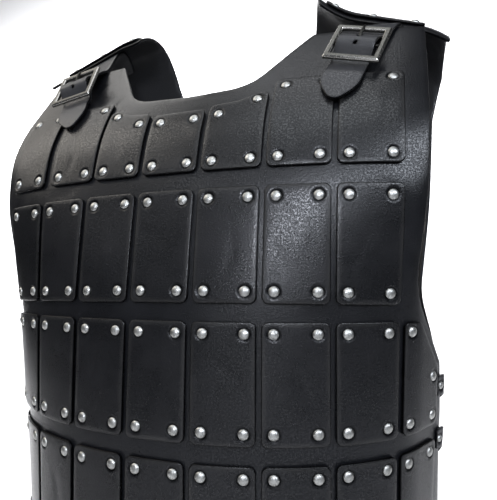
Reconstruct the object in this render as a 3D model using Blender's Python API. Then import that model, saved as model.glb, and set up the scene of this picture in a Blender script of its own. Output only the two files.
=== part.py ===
"""Studded leather body armour: a front and a back of thick leather, each covered with riveted
leather plates, joined by a buckled strap on each shoulder and two on each side.

Every leather piece is drawn flat, as a maker cuts it, in (across, down) sizes: across is measured
round the body from the middle of the panel, down is measured along the leather from the shoulder.
The drawing is triangulated and laid on the bent form of the front or the back, and gets its
thickness there. Metres, +Z up, the wearer faces -Y, +X is the wearer's left. The origin lies
midway between the tops of the shoulders, where the wearer carries the armour.
"""
import math
from bisect import bisect_right

import bpy
import bmesh
from mathutils import Matrix, Vector
from mathutils.geometry import delaunay_2d_cdt

MM = 0.001

# Leather and rivets
WALL = 3.0 * MM
PLATE = 3.0 * MM
STRAP = 2.8 * MM
SEAT = 0.45 * MM
RIVET_RADIUS = 4.6 * MM
RIVET_RISE = 2.4 * MM
RIVET_SIDES = 6
LEAST_EDGE = 2.4 * MM
LEAST_HOLE_EDGE = 0.05 * MM
SLANT = 0.01

# Plates: seven or nine columns, four rows
PITCH = 62.0 * MM
PLATE_WIDTH = 57.5 * MM
PLATE_HEIGHT = 103.3 * MM
ROW_PITCH = 119.0 * MM
PLATE_CORNER = 6.0 * MM
RIVET_FROM_SIDE = 10.35 * MM
RIVET_FROM_TOP = 10.3 * MM
RIVET_FROM_BOTTOM = 10.5 * MM
# How much shorter the plates of the first row are cut at the bottom
NECK_ROW_CUT = 1.3 * MM
UPPER_COLUMNS = (-3, -2, -1, 0, 1, 2, 3)
LOWER_COLUMNS = (-4, -3, -2, -1, 0, 1, 2, 3, 4)
HEM_MARGIN = 16.0 * MM
FRONT_HEM = 560.5 * MM
BACK_HEM = 589.0 * MM

# Fold lines of the drawn mesh, shared by a panel and what lies on it: two lines for each column
# of plates across the chest, four at the sides, and three down for each row
CHEST_FOLDS = 5
SIDE_FOLDS = 11
FRONT_ROW_FOLDS = 15
BACK_ROW_FOLDS = 13

# Sections of the body, from the shoulder down, in millimetres. Each is a rounded half ring:
# height, half breadth, depth from its centre line, where the centre line lies, and how much
# the ring rises at its sides. The front's are taken on the face of its plates, the back's on
# its inner side.
ROUNDNESS = 2.12
FRONT_SECTIONS = (
    # height, half_breadth, depth, centre, side_rise
    (-20, 260, 45, -11, 0),
    (-37, 259, 46, -24, 0),
    (-77, 257, 47, -53, 0),
    (-117, 255, 49, -80, 0),
    (-153, 253, 51, -96.5, 0),
    (-189, 250, 56, -102, -1),
    (-225, 245, 64, -101, -2),
    (-307, 233, 95, -80, -3),
    (-344, 232, 108, -69, 1),
    (-428, 231, 130, -49, 4),
    (-464, 229, 138, -41, 5),
    (-573, 224, 150, -27, 6),
)
# The back starts at the front edge of its shoulder flap. The slope says how much of the
# shoulder's fall the section takes.
BACK_SECTIONS = (
    # height, half_breadth, depth, centre, slope
    (-18, 262, 4, -31, 1.0),
    (-7, 262, 4, -19, 1.0),
    (-1, 262, 4, -6, 1.0),
    (0, 262, 5, 5, 1.0),
    (-4, 262, 7, 16, 1.0),
    (-14, 262, 11, 25, 0.95),
    (-32, 261, 18, 30, 0.85),
    (-60, 260, 28, 31, 0.65),
    (-97, 255, 38, 29, 0.4),
    (-150, 249, 52, 20, 0.15),
    (-190, 247, 64, 10, 0.05),
    (-225, 242, 74, 0, 0),
    (-307, 234, 113, -45, 0),
    (-344, 232, 132, -69, 0),
    (-428, 231, 110, -49, 0),
    (-464, 229, 99, -41, 0),
    (-573, 225, 86, -27, 0),
)
# Distance round the body past which the leather of the front and of the back goes on straight
FRONT_STRAIGHT = 248.0 * MM
BACK_STRAIGHT = 400.0 * MM
GUIDE = 185.0 * MM
SHOULDER_FALL = 0.36
NECK_FLAT = 118.0 * MM
# The left shoulder stands up towards the neck; the right one lies a little higher all along
NECK_RISE = 11.0 * MM
NECK_RISE_FROM = 165.0 * MM
NECK_RISE_RUN = 39.0 * MM
NECK_RISE_MOST = 1.2
RIGHT_RISE = 13.5 * MM
RIGHT_RISE_RUN = 145.0 * MM
# The outer end of the left flap hangs down
LEFT_SAG = 7.0 * MM
LEFT_SAG_FROM = 226.0 * MM
LEFT_SAG_RUN = 30.0 * MM
FLAP_EDGE = -41.5
RISE_REACH = 230.0 * MM

# Half outlines in millimetres, from the middle of the neck to the middle of the hem, each
# corner with its radius. The other half is its mirror.
FRONT_OUTLINE = (
    # across, down, radius
    (0, 88, 0),
    (66, 83, 40),
    (121, -12, 5),
    (238, -8, 5),
    (238, 215, 90),
    (234.5, 292, 60),
    (286, 368, 6),
    (300, 560.5, 7),
    (0, 560.5, 0),
)
BACK_OUTLINE = (
    # across, down, radius
    (0, 99, 0),
    (92, 96, 45),
    (121, FLAP_EDGE, 4),
    (259, FLAP_EDGE, 6),
    (255, 55, 40),
    (245, 120, 60),
    (244, 260, 60),
    (243, 335, 50),
    (283, 395, 6),
    (266, 480, 0),
    (253, 589, 7),
    (0, 589, 0),
)

# Top edges of the first row of plates on the front, in millimetres
FRONT_TOPS = {
    # column: (inner corner, outer corner, bulge between them, rivet distance)
    0: (116, 116, 0, 11.5),
    1: (112.5, 97.5, 4.5, 12.5),
    2: (83.5, 83.5, 0, 10),
    3: (84.5, 84.5, 0, 9),
}
# How far the inner and the outer edge of some plates of that row lie nearer the middle, in
# millimetres: it isn't set out evenly on the wearer's right
FRONT_SHIFTS = {-1: (0, 5.0), -2: (6.5, 6.5)}
BACK_TOPS = {0: 114.4, 1: 114.4, 2: 98.0, 3: 98.0}

# Plates at the sides that are cut along the armhole or the side edge, in millimetres: corners
# and rivets as (across, down)
FRONT_SIDE_CUTS = {
    3: (
        ((220.5, 323.5), (241, 323.5), (275.5, 369), (275.5, 425.5), (220.5, 425.5)),
        ((229.5, 332.5), (266.5, 378), (229.5, 415), (266.5, 415)),
    ),
}
BACK_SIDE_CUTS = {
    3: (
        ((220.5, 352), (236, 352), (265, 394), (257.5, 454), (220.5, 454)),
        ((228.5, 361), (255, 398), (229.5, 443.5), (249, 443.5)),
    ),
    4: (
        ((220.5, 471), (253, 471), (240.5, 573), (220.5, 573)),
        ((229.5, 480), (243.5, 480), (230.5, 562.5)),
    ),
}

# The plate that lies over the shoulder, on the back's flap
SHOULDER_PLATE = (126.0 * MM, 234.0 * MM, -33.0 * MM, 80.0 * MM)
SHOULDER_RIVETS_ACROSS = (136.0 * MM, 180.0 * MM, 224.0 * MM)
SHOULDER_RIVETS_DOWN = (-23.5 * MM, 70.0 * MM)

# Shoulder closure: side, across and down of the buckle on the front, how far the strap leans, and
# how far its loose end swings back from that lean past the buckle
SHOULDER_CLOSURES = (
    ("right", -1, 155.5 * MM, 49.0 * MM, 10.0, -9.5),
    ("left", 1, 170.0 * MM, 54.0 * MM, 18.5, 5.0),
)
SWING_FROM = 6
SWING_RUN = 24
STRAP_WIDTH = 38.0 * MM
STRAP_TIP_LENGTH = 24.0 * MM
BUCKLE_WIDTH = 54.0 * MM
BUCKLE_LENGTH = 52.0 * MM
BUCKLE_BAR = 6.0 * MM
BUCKLE_CORNER = 3.0 * MM
BUCKLE_TILT = -6.6
BUCKLE_LIFT = 15.0 * MM
FRAME_OVER_BAR = 1.8 * MM
BUCKLE_SECTION = (
    # inset, height, in millimetres: once round the section of the frame's bars
    (0, -2.0),
    (0, 0.2),
    (1.5, 2.0),
    (4.8, 2.0),
    (6, 1.0),
    (6, -2.0),
)
BAR_RADIUS = 1.8 * MM
PRONG_PATH = (
    # along, height over the middle bar, radius, in millimetres
    (0, 0, 1.5),
    (-4.5, 2.3, 1.5),
    (-9, 5.0, 1.5),
    (-14, 6.6, 1.4),
    (-21, 7.2, 1.3),
    (-25.5, 6.4, 1.0),
)
CHAPE = 1.7 * MM
CHAPE_WIDTH = 34.0 * MM
CHAPE_REACH = 22.5 * MM
CHAPE_PINCH = 13.0 * MM
CHAPE_FOLD = (233, 39)
SPARE_HOLE = 2.0 * MM
# Length of strap from the buckle's middle bar up to the edge of the flap
FLAP_REACH = 92.0 * MM
# Rise of the strap's underside over the front panel along its length, in millimetres: in at
# the tab's edge, under the top bar, over the middle bar, under the lower bar, onto the plates
STRAP_RISE = (
    # along, rise
    (-44, 5.0),
    (-34, 8.2),
    (-24, 11.4),
    (-18.5, 13.0),
    (-13, 15.6),
    (-8, 18.0),
    (-4, 19.3),
    (0, 19.6),
    (4, 19.2),
    (8, 16.2),
    (12, 11.2),
    (16, 6.6),
    (20, 5.1),
    (28, 5.0),
    (38, 6.4),
    (50, 6.4),
    (78, 6.4),
)
TAB_EDGE = -10.8 * MM
SHOULDER_FOLDS = (-32, -21, -10, 1, 12, 24, 40, 60, 82)
FOLDS_OVER_STRAP = 6

# Side closures: height of each strap below the shoulder, and how far round the edges of the
# front and of the back lie there
SIDE_STRAPS = (
    # level, height, front edge, back edge
    ("upper", -403.0 * MM, 288.8 * MM, 276.5 * MM),
    ("lower", -457.0 * MM, 292.6 * MM, 266.5 * MM),
)
SIDE_STRAP_SEATS = (11.5 * MM, 6.0 * MM)
SIDE_STRAP_WIDTH = 20.0 * MM
SIDE_STRAP = 2.5 * MM
SIDE_STRAP_PAST = 0.6 * MM

LEATHER = ("black_leather", (0.012, 0.013, 0.015, 1.0), 0.5, 0.0)
PLATE_LEATHER = ("black_plate_leather", (0.016, 0.017, 0.02, 1.0), 0.42, 0.0)
STRAP_LEATHER = ("black_strap_leather", (0.014, 0.015, 0.017, 1.0), 0.5, 0.0)
NICKEL = ("antique_nickel", (0.55, 0.53, 0.49, 1.0), 0.32, 1.0)


def clear_scene():
    for thing in list(bpy.data.objects):
        bpy.data.objects.remove(thing, do_unlink=True)


def finish_material(name, colour, roughness, metallic):
    material = bpy.data.materials.get(name)
    if material:
        return material
    material = bpy.data.materials.new(name)
    material.use_nodes = True
    shader = material.node_tree.nodes["Principled BSDF"]
    shader.inputs["Base Color"].default_value = colour
    shader.inputs["Roughness"].default_value = roughness
    shader.inputs["Metallic"].default_value = metallic
    return material


def finished_object(name, bm, finish):
    bmesh.ops.recalc_face_normals(bm, faces=bm.faces)
    mesh = bpy.data.meshes.new(name)
    bm.to_mesh(mesh)
    bm.free()
    mesh.materials.append(finish_material(*finish))
    thing = bpy.data.objects.new(name, mesh)
    bpy.context.collection.objects.link(thing)
    return thing


# The bent form of the front and of the back

class Form:
    """A bent leather form, worked out from its sections. across runs round the body from the
    middle, down runs along the leather at the guide line, out is measured off the inner side,
    which lies under the sections by the height of the face. Past the side of the body, or past
    the straight distance where that comes first, the leather goes on straight."""

    RING_STEPS = 240
    REACH = 1.5 * MM

    def __init__(self, sections, facing, zero_section, lift, face, straight):
        self.facing = facing
        self.straight = straight
        self.lift = lift
        self.face = face
        self.rows = [[value * MM for value in row[:4]] + [row[4]] for row in sections]
        self.rings = {}
        self.points = {}
        self.downs = [0.0]
        for upper, lower in zip(self.rows, self.rows[1:]):
            rise = lower[0] - upper[0]
            run = self.guide_y(lower) - self.guide_y(upper)
            self.downs.append(self.downs[-1] + math.hypot(rise, run))
        zero = self.downs[zero_section]
        self.downs = [down - zero for down in self.downs]

    def guide_y(self, row):
        share = 1.0 - (GUIDE / row[1]) ** ROUNDNESS
        return row[3] + self.facing * row[2] * share ** (1.0 / ROUNDNESS)

    def section(self, down):
        """The section's values at a distance down, on a smooth curve through the table."""
        last = len(self.downs) - 1
        index = max(i for i in range(last) if i == 0 or self.downs[i] <= down)
        start, end = self.downs[index], self.downs[index + 1]
        share = (down - start) / (end - start)
        values = []
        for column in range(5):
            first = self.rows[index][column]
            second = self.rows[index + 1][column]
            leave = self.trend(index, column) * (end - start)
            arrive = self.trend(index + 1, column) * (end - start)
            if share < 0.0:
                values.append(first + leave * share)
            elif share > 1.0:
                values.append(second + arrive * (share - 1.0))
            else:
                square, cube = share * share, share ** 3
                values.append(
                    (2 * cube - 3 * square + 1) * first
                    + (cube - 2 * square + share) * leave
                    + (3 * square - 2 * cube) * second
                    + (cube - square) * arrive
                )
        return values

    def trend(self, index, column):
        before = max(index - 1, 0)
        after = min(index + 1, len(self.rows) - 1)
        change = self.rows[after][column] - self.rows[before][column]
        return change / (self.downs[after] - self.downs[before])

    def ring(self, down):
        """Distances round the section's half ring, with the place of each."""
        key = round(down, 6)
        if key not in self.rings:
            height, breadth, depth, centre, side = self.section(down)
            steps = []
            length, previous = 0.0, None
            for step in range(self.RING_STEPS + 1):
                turn = 0.5 * math.pi * step / self.RING_STEPS
                x = breadth * math.sin(turn) ** (2.0 / ROUNDNESS)
                y = depth * max(math.cos(turn), 0.0) ** (2.0 / ROUNDNESS)
                if previous:
                    length += math.hypot(x - previous[0], y - previous[1])
                steps.append((length, x, y))
                previous = (x, y)
            self.rings[key] = (height, centre, side, steps)
        return self.rings[key]

    def on_ring(self, steps, distance):
        index = min(bisect_right(steps, (distance,)), len(steps) - 1)
        before, after = steps[index - 1], steps[index]
        share = (distance - before[0]) / (after[0] - before[0])
        return [first + share * (second - first) for first, second in zip(before, after)]

    def surface(self, across, down):
        key = (round(across, 7), round(down, 7))
        if key in self.points:
            return self.points[key]
        height, centre, side, steps = self.ring(down)
        distance = abs(across)
        bent = min(steps[-1][0], self.straight)
        _, x, y = self.on_ring(steps, min(distance, bent))
        if distance > bent:
            _, start_x, start_y = self.on_ring(steps, bent - self.REACH)
            share = (distance - bent) / self.REACH
            x, y = x + share * (x - start_x), y + share * (y - start_y)
        x = math.copysign(x, across)
        point = Vector((x, centre + self.facing * y, height + self.lift(x, distance, side)))
        self.points[key] = point
        return point

    def place(self, across, down, out=0.0):
        point = self.surface(across, down)
        if out == self.face:
            return point.copy()
        reach = self.REACH
        along = self.surface(across + reach, down) - self.surface(across - reach, down)
        below = self.surface(across, down + reach) - self.surface(across, down - reach)
        normal = self.facing * along.cross(below)
        return point + normal.normalized() * (out - self.face)

    def down_at(self, height):
        """Distance down at which the guide line reaches a height under the shoulder."""
        low, high = 0.0, self.downs[-1]
        for _ in range(40):
            middle = 0.5 * (low + high)
            if self.section(middle)[0] > height:
                low = middle
            else:
                high = middle
        return low


def front_lift(x, distance, rise):
    return rise * MM * (distance / RISE_REACH) ** 2


def back_lift(x, distance, slope):
    reach = abs(x)
    spread = reach if reach > NECK_FLAT else reach * reach / (2.0 * NECK_FLAT) + 0.5 * NECK_FLAT
    if x < 0.0:
        rise = RIGHT_RISE * min(reach / RIGHT_RISE_RUN, 1.0) ** 2
    else:
        neck = (NECK_RISE_FROM - spread) / NECK_RISE_RUN
        sag = max(spread - LEFT_SAG_FROM, 0.0) / LEFT_SAG_RUN
        rise = NECK_RISE * min(max(neck, 0.0), NECK_RISE_MOST) ** 2 - LEFT_SAG * sag ** 2
    return rise * slope ** 2 - SHOULDER_FALL * slope * (spread - GUIDE)


FRONT = Form(FRONT_SECTIONS, -1, 1, front_lift, WALL + SEAT + PLATE, FRONT_STRAIGHT)
BACK = Form(BACK_SECTIONS, 1, 3, back_lift, 0.0, BACK_STRAIGHT)


# Flat drawing of the pieces

def rounded(corners, closed=False):
    """Points of an outline given by its corners, each with a radius in metres."""
    points = []
    count = len(corners)
    for index, (x, y, radius) in enumerate(corners):
        at_end = not closed and index in (0, count - 1)
        if radius <= 0.0 or at_end:
            points.append((x, y))
            continue
        here = Vector((x, y))
        back = Vector(corners[index - 1][:2]) - here
        ahead = Vector(corners[(index + 1) % count][:2]) - here
        opening = back.angle(ahead)
        cut = min(radius / math.tan(opening / 2.0), back.length * 0.48, ahead.length * 0.48)
        fit = cut * math.tan(opening / 2.0)
        centre = here + (back.normalized() + ahead.normalized()).normalized() * (
            fit / math.sin(opening / 2.0)
        )
        start = here + back.normalized() * cut - centre
        turn = start.angle_signed(here + ahead.normalized() * cut - centre)
        steps = max(2, math.ceil(abs(turn) / math.radians(46.0)))
        for step in range(steps + 1):
            swing = Matrix.Rotation(-turn * step / steps, 2)
            spot = centre + swing @ start
            points.append((spot.x, spot.y))
    return points


def mirrored(half):
    """A whole outline from its half, which starts and ends on the middle line."""
    other = [(-x, y) for x, y in reversed(half[1:-1])]
    return half + other


def fold_columns():
    """Where the leather folds across the body, the same on the front and on the back."""
    chest = [index * 0.5 * PITCH for index in range(CHEST_FOLDS)]
    side = [chest[-1] + (index + 1) * 0.25 * PITCH for index in range(SIDE_FOLDS)]
    half = chest + side
    return [-x for x in half[:0:-1]] + half


def fold_rows(hem, count):
    """Where the leather folds down the body: in each gap between rows and twice on each plate."""
    gap = row_bottom(4, hem) + 0.5 * (ROW_PITCH - PLATE_HEIGHT)
    return [gap - index * ROW_PITCH / 3.0 for index in range(count)]


def divided(loop, folds):
    """The loop with a point wherever a fold line crosses it."""
    columns, rows, least = folds
    points = []
    for index, (x, y) in enumerate(loop):
        next_x, next_y = loop[(index + 1) % len(loop)]
        shares = [(line - x) / (next_x - x) for line in columns if abs(next_x - x) > 1e-6]
        shares += [(line - y) / (next_y - y) for line in rows if abs(next_y - y) > 1e-6]
        length = math.hypot(next_x - x, next_y - y)
        spare = least / length
        kept = [0.0]
        for share in sorted(shares):
            if kept[-1] + spare < share < 1.0 - spare:
                kept.append(share)
        points += [(x + share * (next_x - x), y + share * (next_y - y)) for share in kept]
    return points


def area(loop):
    pairs = zip(loop, loop[1:] + loop[:1])
    return 0.5 * sum(a[0] * b[1] - b[0] * a[1] for a, b in pairs)


def inset(loop, distance):
    """The loop moved inwards by a distance, point by point."""
    moved = []
    turn = 1.0 if area(loop) > 0 else -1.0
    for index, point in enumerate(loop):
        before = Vector(loop[index - 1])
        after = Vector(loop[(index + 1) % len(loop)])
        along = (after - before).normalized()
        moved.append((point[0] - turn * along.y * distance, point[1] + turn * along.x * distance))
    return moved


def inside(point, loop):
    x, y = point
    found = False
    for (ax, ay), (bx, by) in zip(loop, loop[1:] + loop[:1]):
        if (ay > y) != (by > y) and x < ax + (y - ay) * (bx - ax) / (by - ay):
            found = not found
    return found


def clear_of(point, segments, distance):
    x, y = point
    for ax, ay, bx, by in segments:
        if min(ax, bx) - distance > x or max(ax, bx) + distance < x:
            continue
        if min(ay, by) - distance > y or max(ay, by) + distance < y:
            continue
        dx, dy = bx - ax, by - ay
        share = ((x - ax) * dx + (y - ay) * dy) / (dx * dx + dy * dy)
        share = min(max(share, 0.0), 1.0)
        if math.hypot(ax + share * dx - x, ay + share * dy - y) < distance:
            return False
    return True


def circle(centre, radius, sides):
    turns = [2.0 * math.pi * (i + 0.5) / sides for i in range(sides)]
    return [(centre[0] + radius * math.cos(t), centre[1] + radius * math.sin(t)) for t in turns]


class Drawing:
    """A flat drawing with a height at each point: closed loops and loose fold points."""

    def __init__(self, outline):
        self.points = []
        self.heights = []
        self.loops = []
        self.creases = []
        self.outline = outline

    def add_loop(self, loop, height):
        start = len(self.points)
        self.points += loop
        self.heights += [height] * len(loop)
        self.loops.append(list(range(start, len(self.points))))
        return self.loops[-1]

    def add_rivet(self, spot, height):
        self.add_loop(circle(spot, RIVET_RADIUS, RIVET_SIDES), height)
        self.points.append(spot)
        self.heights.append(height + RIVET_RISE)

    def add_folds(self, folds, height_at):
        """Loose points where the fold lines cross, clear of the loops."""
        segments = []
        for loop in self.loops:
            for first, second in zip(loop, loop[1:] + loop[:1]):
                segments.append((*self.points[first], *self.points[second]))
        columns, rows, least = folds
        for spot in ((x, y) for y in rows for x in columns):
            if inside(spot, self.outline) and clear_of(spot, segments, least):
                self.points.append(spot)
                self.heights.append(height_at(spot))

    def crease(self, lines, axis, holes=()):
        """Make the fold lines edges of the triangles: across for axis 1, down for axis 0."""
        other = 1 - axis
        for line in lines:
            found = [i for i, point in enumerate(self.points) if abs(point[axis] - line) < 1e-7]
            found.sort(key=lambda i: self.points[i][other])
            for first, second in zip(found, found[1:]):
                middle = [0.5 * (a + b) for a, b in zip(self.points[first], self.points[second])]
                if not any(inside(middle, hole) for hole in holes):
                    self.creases.append((first, second))

    def triangles(self, holes):
        """Triangles between the points, none of them in a hole. The slant gives equal squares of
        the fold lines the same diagonal on a panel and on the plates over it."""
        edges = list(self.creases)
        for loop in self.loops:
            edges += list(zip(loop, loop[1:] + loop[:1]))
        border = self.loops[0] if area(self.outline) > 0 else self.loops[0][::-1]
        slanted = [Vector((x, y + SLANT * abs(x))) for x, y in self.points]
        result = delaunay_2d_cdt(slanted, edges, [border], 1, 1e-7)
        _, _, faces, origins = result[:4]
        sources = [origin[0] for origin in origins]
        found = []
        for face in faces:
            corners = [sources[corner] for corner in face]
            x = sum(self.points[corner][0] for corner in corners) / 3.0
            y = sum(self.points[corner][1] for corner in corners) / 3.0
            if not any(inside((x, y), hole) for hole in holes):
                found.append(corners)
        return found


def leather(name, finish, place, folds, outline, lift, thickness, raised=(), rivets=(), holes=(),
            strap=False):
    """One closed leather wall from its flat outline. Raised pieces and rivets stand up from its
    outer points, over a plain inside. A strap is creased across at each of its fold lines, and
    the underside of what lies on a panel is creased down them."""
    outline = divided(outline, folds)
    holes = [divided(hole, (*folds[:2], LEAST_HOLE_EDGE)) for hole in holes]
    top = lift + thickness
    outer = Drawing(outline)
    border = outer.add_loop(outline, top)
    rims = [(border, outer.add_loop(hole, top)) for hole in holes]
    patches = []
    for patch, patch_rivets in raised:
        patch = divided(patch, folds)
        outer.add_loop(patch, top)
        outer.add_loop(inset(patch, 0.5 * MM), top + PLATE)
        patches.append(patch)
        for rivet in patch_rivets:
            outer.add_rivet(rivet, top + PLATE)
    for rivet in rivets:
        outer.add_rivet(rivet, top)

    def height_at(spot):
        return top + (PLATE if any(inside(spot, patch) for patch in patches) else 0.0)

    outer.add_folds(folds, height_at)
    inner = Drawing(outline)
    inner_border = inner.add_loop(outline, lift)
    inner_rims = [inner.add_loop(hole, lift) for hole in holes]
    inner.add_folds(folds, lambda spot: lift)
    if strap:
        outer.crease(folds[1], 1, holes)
        inner.crease(folds[1], 1, holes)
    elif lift > 0.0:
        inner.crease(folds[0], 0)

    bm = bmesh.new()
    rings = {}
    for side, drawing in (("outer", outer), ("inner", inner)):
        spots = zip(drawing.points, drawing.heights)
        verts = [bm.verts.new(place(x, y, height)) for (x, y), height in spots]
        for corners in drawing.triangles(holes):
            bm.faces.new([verts[corner] for corner in corners])
        rings[side] = verts
    pairs = [(border, inner_border)]
    pairs += [(rim[1], inner_rim) for rim, inner_rim in zip(rims, inner_rims)]
    for above, below in pairs:
        for index in range(len(above)):
            after = (index + 1) % len(above)
            bm.faces.new((
                rings["outer"][above[index]],
                rings["outer"][above[after]],
                rings["inner"][below[after]],
                rings["inner"][below[index]],
            ))
    loose = [vert for vert in bm.verts if not vert.link_faces]
    bmesh.ops.delete(bm, geom=loose, context="VERTS")
    return finished_object(name, bm, finish)


# Panels and plates

def plate_outline(corners, radius=PLATE_CORNER):
    return rounded([(x, y, radius) for x, y in corners], closed=True)


def plain_plate(column, top, bottom):
    """A rectangular plate: its outline and its four rivets."""
    middle = column * PITCH
    half = 0.5 * PLATE_WIDTH
    sides = (middle - half, middle + half)
    corners = [(sides[0], top), (sides[1], top), (sides[1], bottom), (sides[0], bottom)]
    rivets = [
        (x, y)
        for x in (sides[0] + RIVET_FROM_SIDE, sides[1] - RIVET_FROM_SIDE)
        for y in (top + RIVET_FROM_TOP, bottom - RIVET_FROM_BOTTOM)
    ]
    return plate_outline(corners), rivets


def neck_plate(column, bottom):
    """A plate of the first row, with its top edge along the neck."""
    inner, outer, bulge, rivet_down = (value * MM for value in FRONT_TOPS[abs(column)])
    inner_shift, outer_shift = (value * MM for value in FRONT_SHIFTS.get(column, (0, 0)))
    side = -1.0 if column < 0 else 1.0
    near = side * (abs(column) * PITCH - 0.5 * PLATE_WIDTH - inner_shift)
    far = side * (abs(column) * PITCH + 0.5 * PLATE_WIDTH - outer_shift)
    top = [(near, inner), (0.5 * (near + far), 0.5 * (inner + outer) + bulge), (far, outer)]
    if bulge == 0.0:
        top.pop(1)
    corners = top + [(far, bottom - NECK_ROW_CUT), (near, bottom - NECK_ROW_CUT)]
    rivets = []
    for edge, edge_top, towards in ((near, inner, side), (far, outer, -side)):
        x = edge + towards * RIVET_FROM_SIDE
        rivets += [(x, edge_top + rivet_down), (x, bottom - RIVET_FROM_BOTTOM)]
    return plate_outline(corners), rivets


def cut_plate(side, corners, rivets):
    """A side plate with corners of its own, on one side of the body."""
    outline = plate_outline([(side * x * MM, y * MM) for x, y in corners])
    return outline, [(side * x * MM, y * MM) for x, y in rivets]


def row_bottom(row, hem):
    """Lower edge of a row of plates; the fourth row ends over the hem."""
    return hem - HEM_MARGIN - (4 - row) * ROW_PITCH


def front_plates():
    """Every plate of the front: name, outline and rivets."""
    plates = []
    for row in (1, 2, 3, 4):
        bottom = row_bottom(row, FRONT_HEM)
        for column in UPPER_COLUMNS if row < 3 else LOWER_COLUMNS:
            if row == 1:
                shape = neck_plate(column, bottom)
            elif abs(column) == 4 and row in FRONT_SIDE_CUTS:
                shape = cut_plate(column / 4, *FRONT_SIDE_CUTS[row])
            else:
                shape = plain_plate(column, bottom - PLATE_HEIGHT, bottom)
            plates.append((f"front_plate_{row}_{column + 5}", *shape))
    return plates


def back_plates():
    """The plates raised on the back: outline and rivets."""
    plates = []
    for row in (1, 2, 3, 4):
        bottom = row_bottom(row, BACK_HEM)
        for column in UPPER_COLUMNS if row < 3 else LOWER_COLUMNS:
            if row == 1:
                plates.append(plain_plate(column, BACK_TOPS[abs(column)] * MM, bottom))
            elif abs(column) == 4:
                plates.append(cut_plate(column / 4, *BACK_SIDE_CUTS[row]))
            else:
                plates.append(plain_plate(column, bottom - PLATE_HEIGHT, bottom))
    return plates


def half_outline(table):
    return rounded([(x * MM, y * MM, radius * MM) for x, y, radius in table])


def panels():
    front = mirrored(half_outline(FRONT_OUTLINE))
    leather("front_panel", LEATHER, FRONT.place, FRONT_FOLDS, front, 0.0, WALL)
    back = mirrored(half_outline(BACK_OUTLINE))
    leather("back_panel", LEATHER, BACK.place, BACK_FOLDS, back, 0.0, WALL, raised=back_plates())


def riveted_plates():
    for name, outline, rivets in front_plates():
        leather(
            name, PLATE_LEATHER, FRONT.place, FRONT_FOLDS, outline, WALL + SEAT, PLATE,
            rivets=rivets,
        )
    left, right, front_edge, back_edge = SHOULDER_PLATE
    corners = ((left, front_edge), (right, front_edge), (right, back_edge), (left, back_edge))
    for name, side in (("right", -1.0), ("left", 1.0)):
        outline = plate_outline([(side * x, y) for x, y in corners])
        rivets = [(side * x, y) for x in SHOULDER_RIVETS_ACROSS for y in SHOULDER_RIVETS_DOWN]
        leather(
            f"shoulder_plate_{name}", PLATE_LEATHER, BACK.place, BACK_FOLDS, outline,
            WALL + SEAT, PLATE, rivets=rivets,
        )


# Straps and buckles

class Route:
    """A strap's course. Each station gives the place of a point across the strap and off its
    underside; between stations the strap is straight, and runs are true lengths."""

    def __init__(self, stations):
        self.stations = stations
        self.runs = [0.0]
        for before, after in zip(stations, stations[1:]):
            step = (after(0.0, 0.0) - before(0.0, 0.0)).length
            self.runs.append(self.runs[-1] + step)

    def place(self, across, run, out):
        last = len(self.runs) - 2
        index = max(i for i in range(last + 1) if i == 0 or self.runs[i] <= run)
        share = (run - self.runs[index]) / (self.runs[index + 1] - self.runs[index])
        start = self.stations[index](across, out)
        end = self.stations[index + 1](across, out)
        return start.lerp(end, share)


def leaning_station(form, side, across, down, lean, lift):
    """A station on a panel, with the strap leaning by an angle from straight down."""
    def place(u, out):
        s = side * (across + u * math.cos(lean))
        return form.place(s, down + u * math.sin(lean), lift + out)
    return place


def edge_station(form, side, across, down, lean, lift):
    """A station along an edge or a fold of the panel, which the leaning strap crosses."""
    def place(u, out):
        return form.place(side * (across + u / math.cos(lean)), down, lift + out)
    return place


def swung_lean(along, lean, swing):
    """How far the strap leans at a distance along the front."""
    return lean - swing * min(max((along - SWING_FROM) / SWING_RUN, 0.0), 1.0)


def strap_route(side, across, down, lean, swing):
    """The shoulder strap's route: from under the flap, through the buckle, onto the plates.
    Also gives the runs of the rows in its table, by the distance along the front."""
    stations = []
    covered = (FLAP_EDGE, *SHOULDER_FOLDS[:FOLDS_OVER_STRAP])
    for back_down in reversed(covered):
        reach = FLAP_REACH + (back_down - FLAP_EDGE) * MM / math.cos(lean)
        s = across + reach * math.sin(lean)
        stations.append(edge_station(BACK, side, s, back_down * MM, lean, -SEAT - STRAP))
    s = across + (down - TAB_EDGE) * math.tan(lean)
    stations.append(edge_station(FRONT, side, s, TAB_EDGE, lean, WALL + SEAT))
    under = len(stations)
    before = STRAP_RISE[0][0]
    s = across - before * MM * math.sin(lean)
    t = down + before * MM * math.cos(lean)
    for along, rise in STRAP_RISE:
        course = swung_lean(0.5 * (before + along), lean, swing)
        s -= (along - before) * MM * math.sin(course)
        t += (along - before) * MM * math.cos(course)
        before = along
        turned = swung_lean(along, lean, swing)
        stations.append(leaning_station(FRONT, side, s, t, turned, WALL + rise * MM))
    route = Route(stations)
    return route, dict(zip((along for along, _ in STRAP_RISE), route.runs[under:]))


def oblong(start, end, half_width):
    """A long hole with rounded ends."""
    corners = [(-half_width, start), (half_width, start), (half_width, end), (-half_width, end)]
    return rounded([(x, y, half_width * 0.9) for x, y in corners], closed=True)


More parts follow.
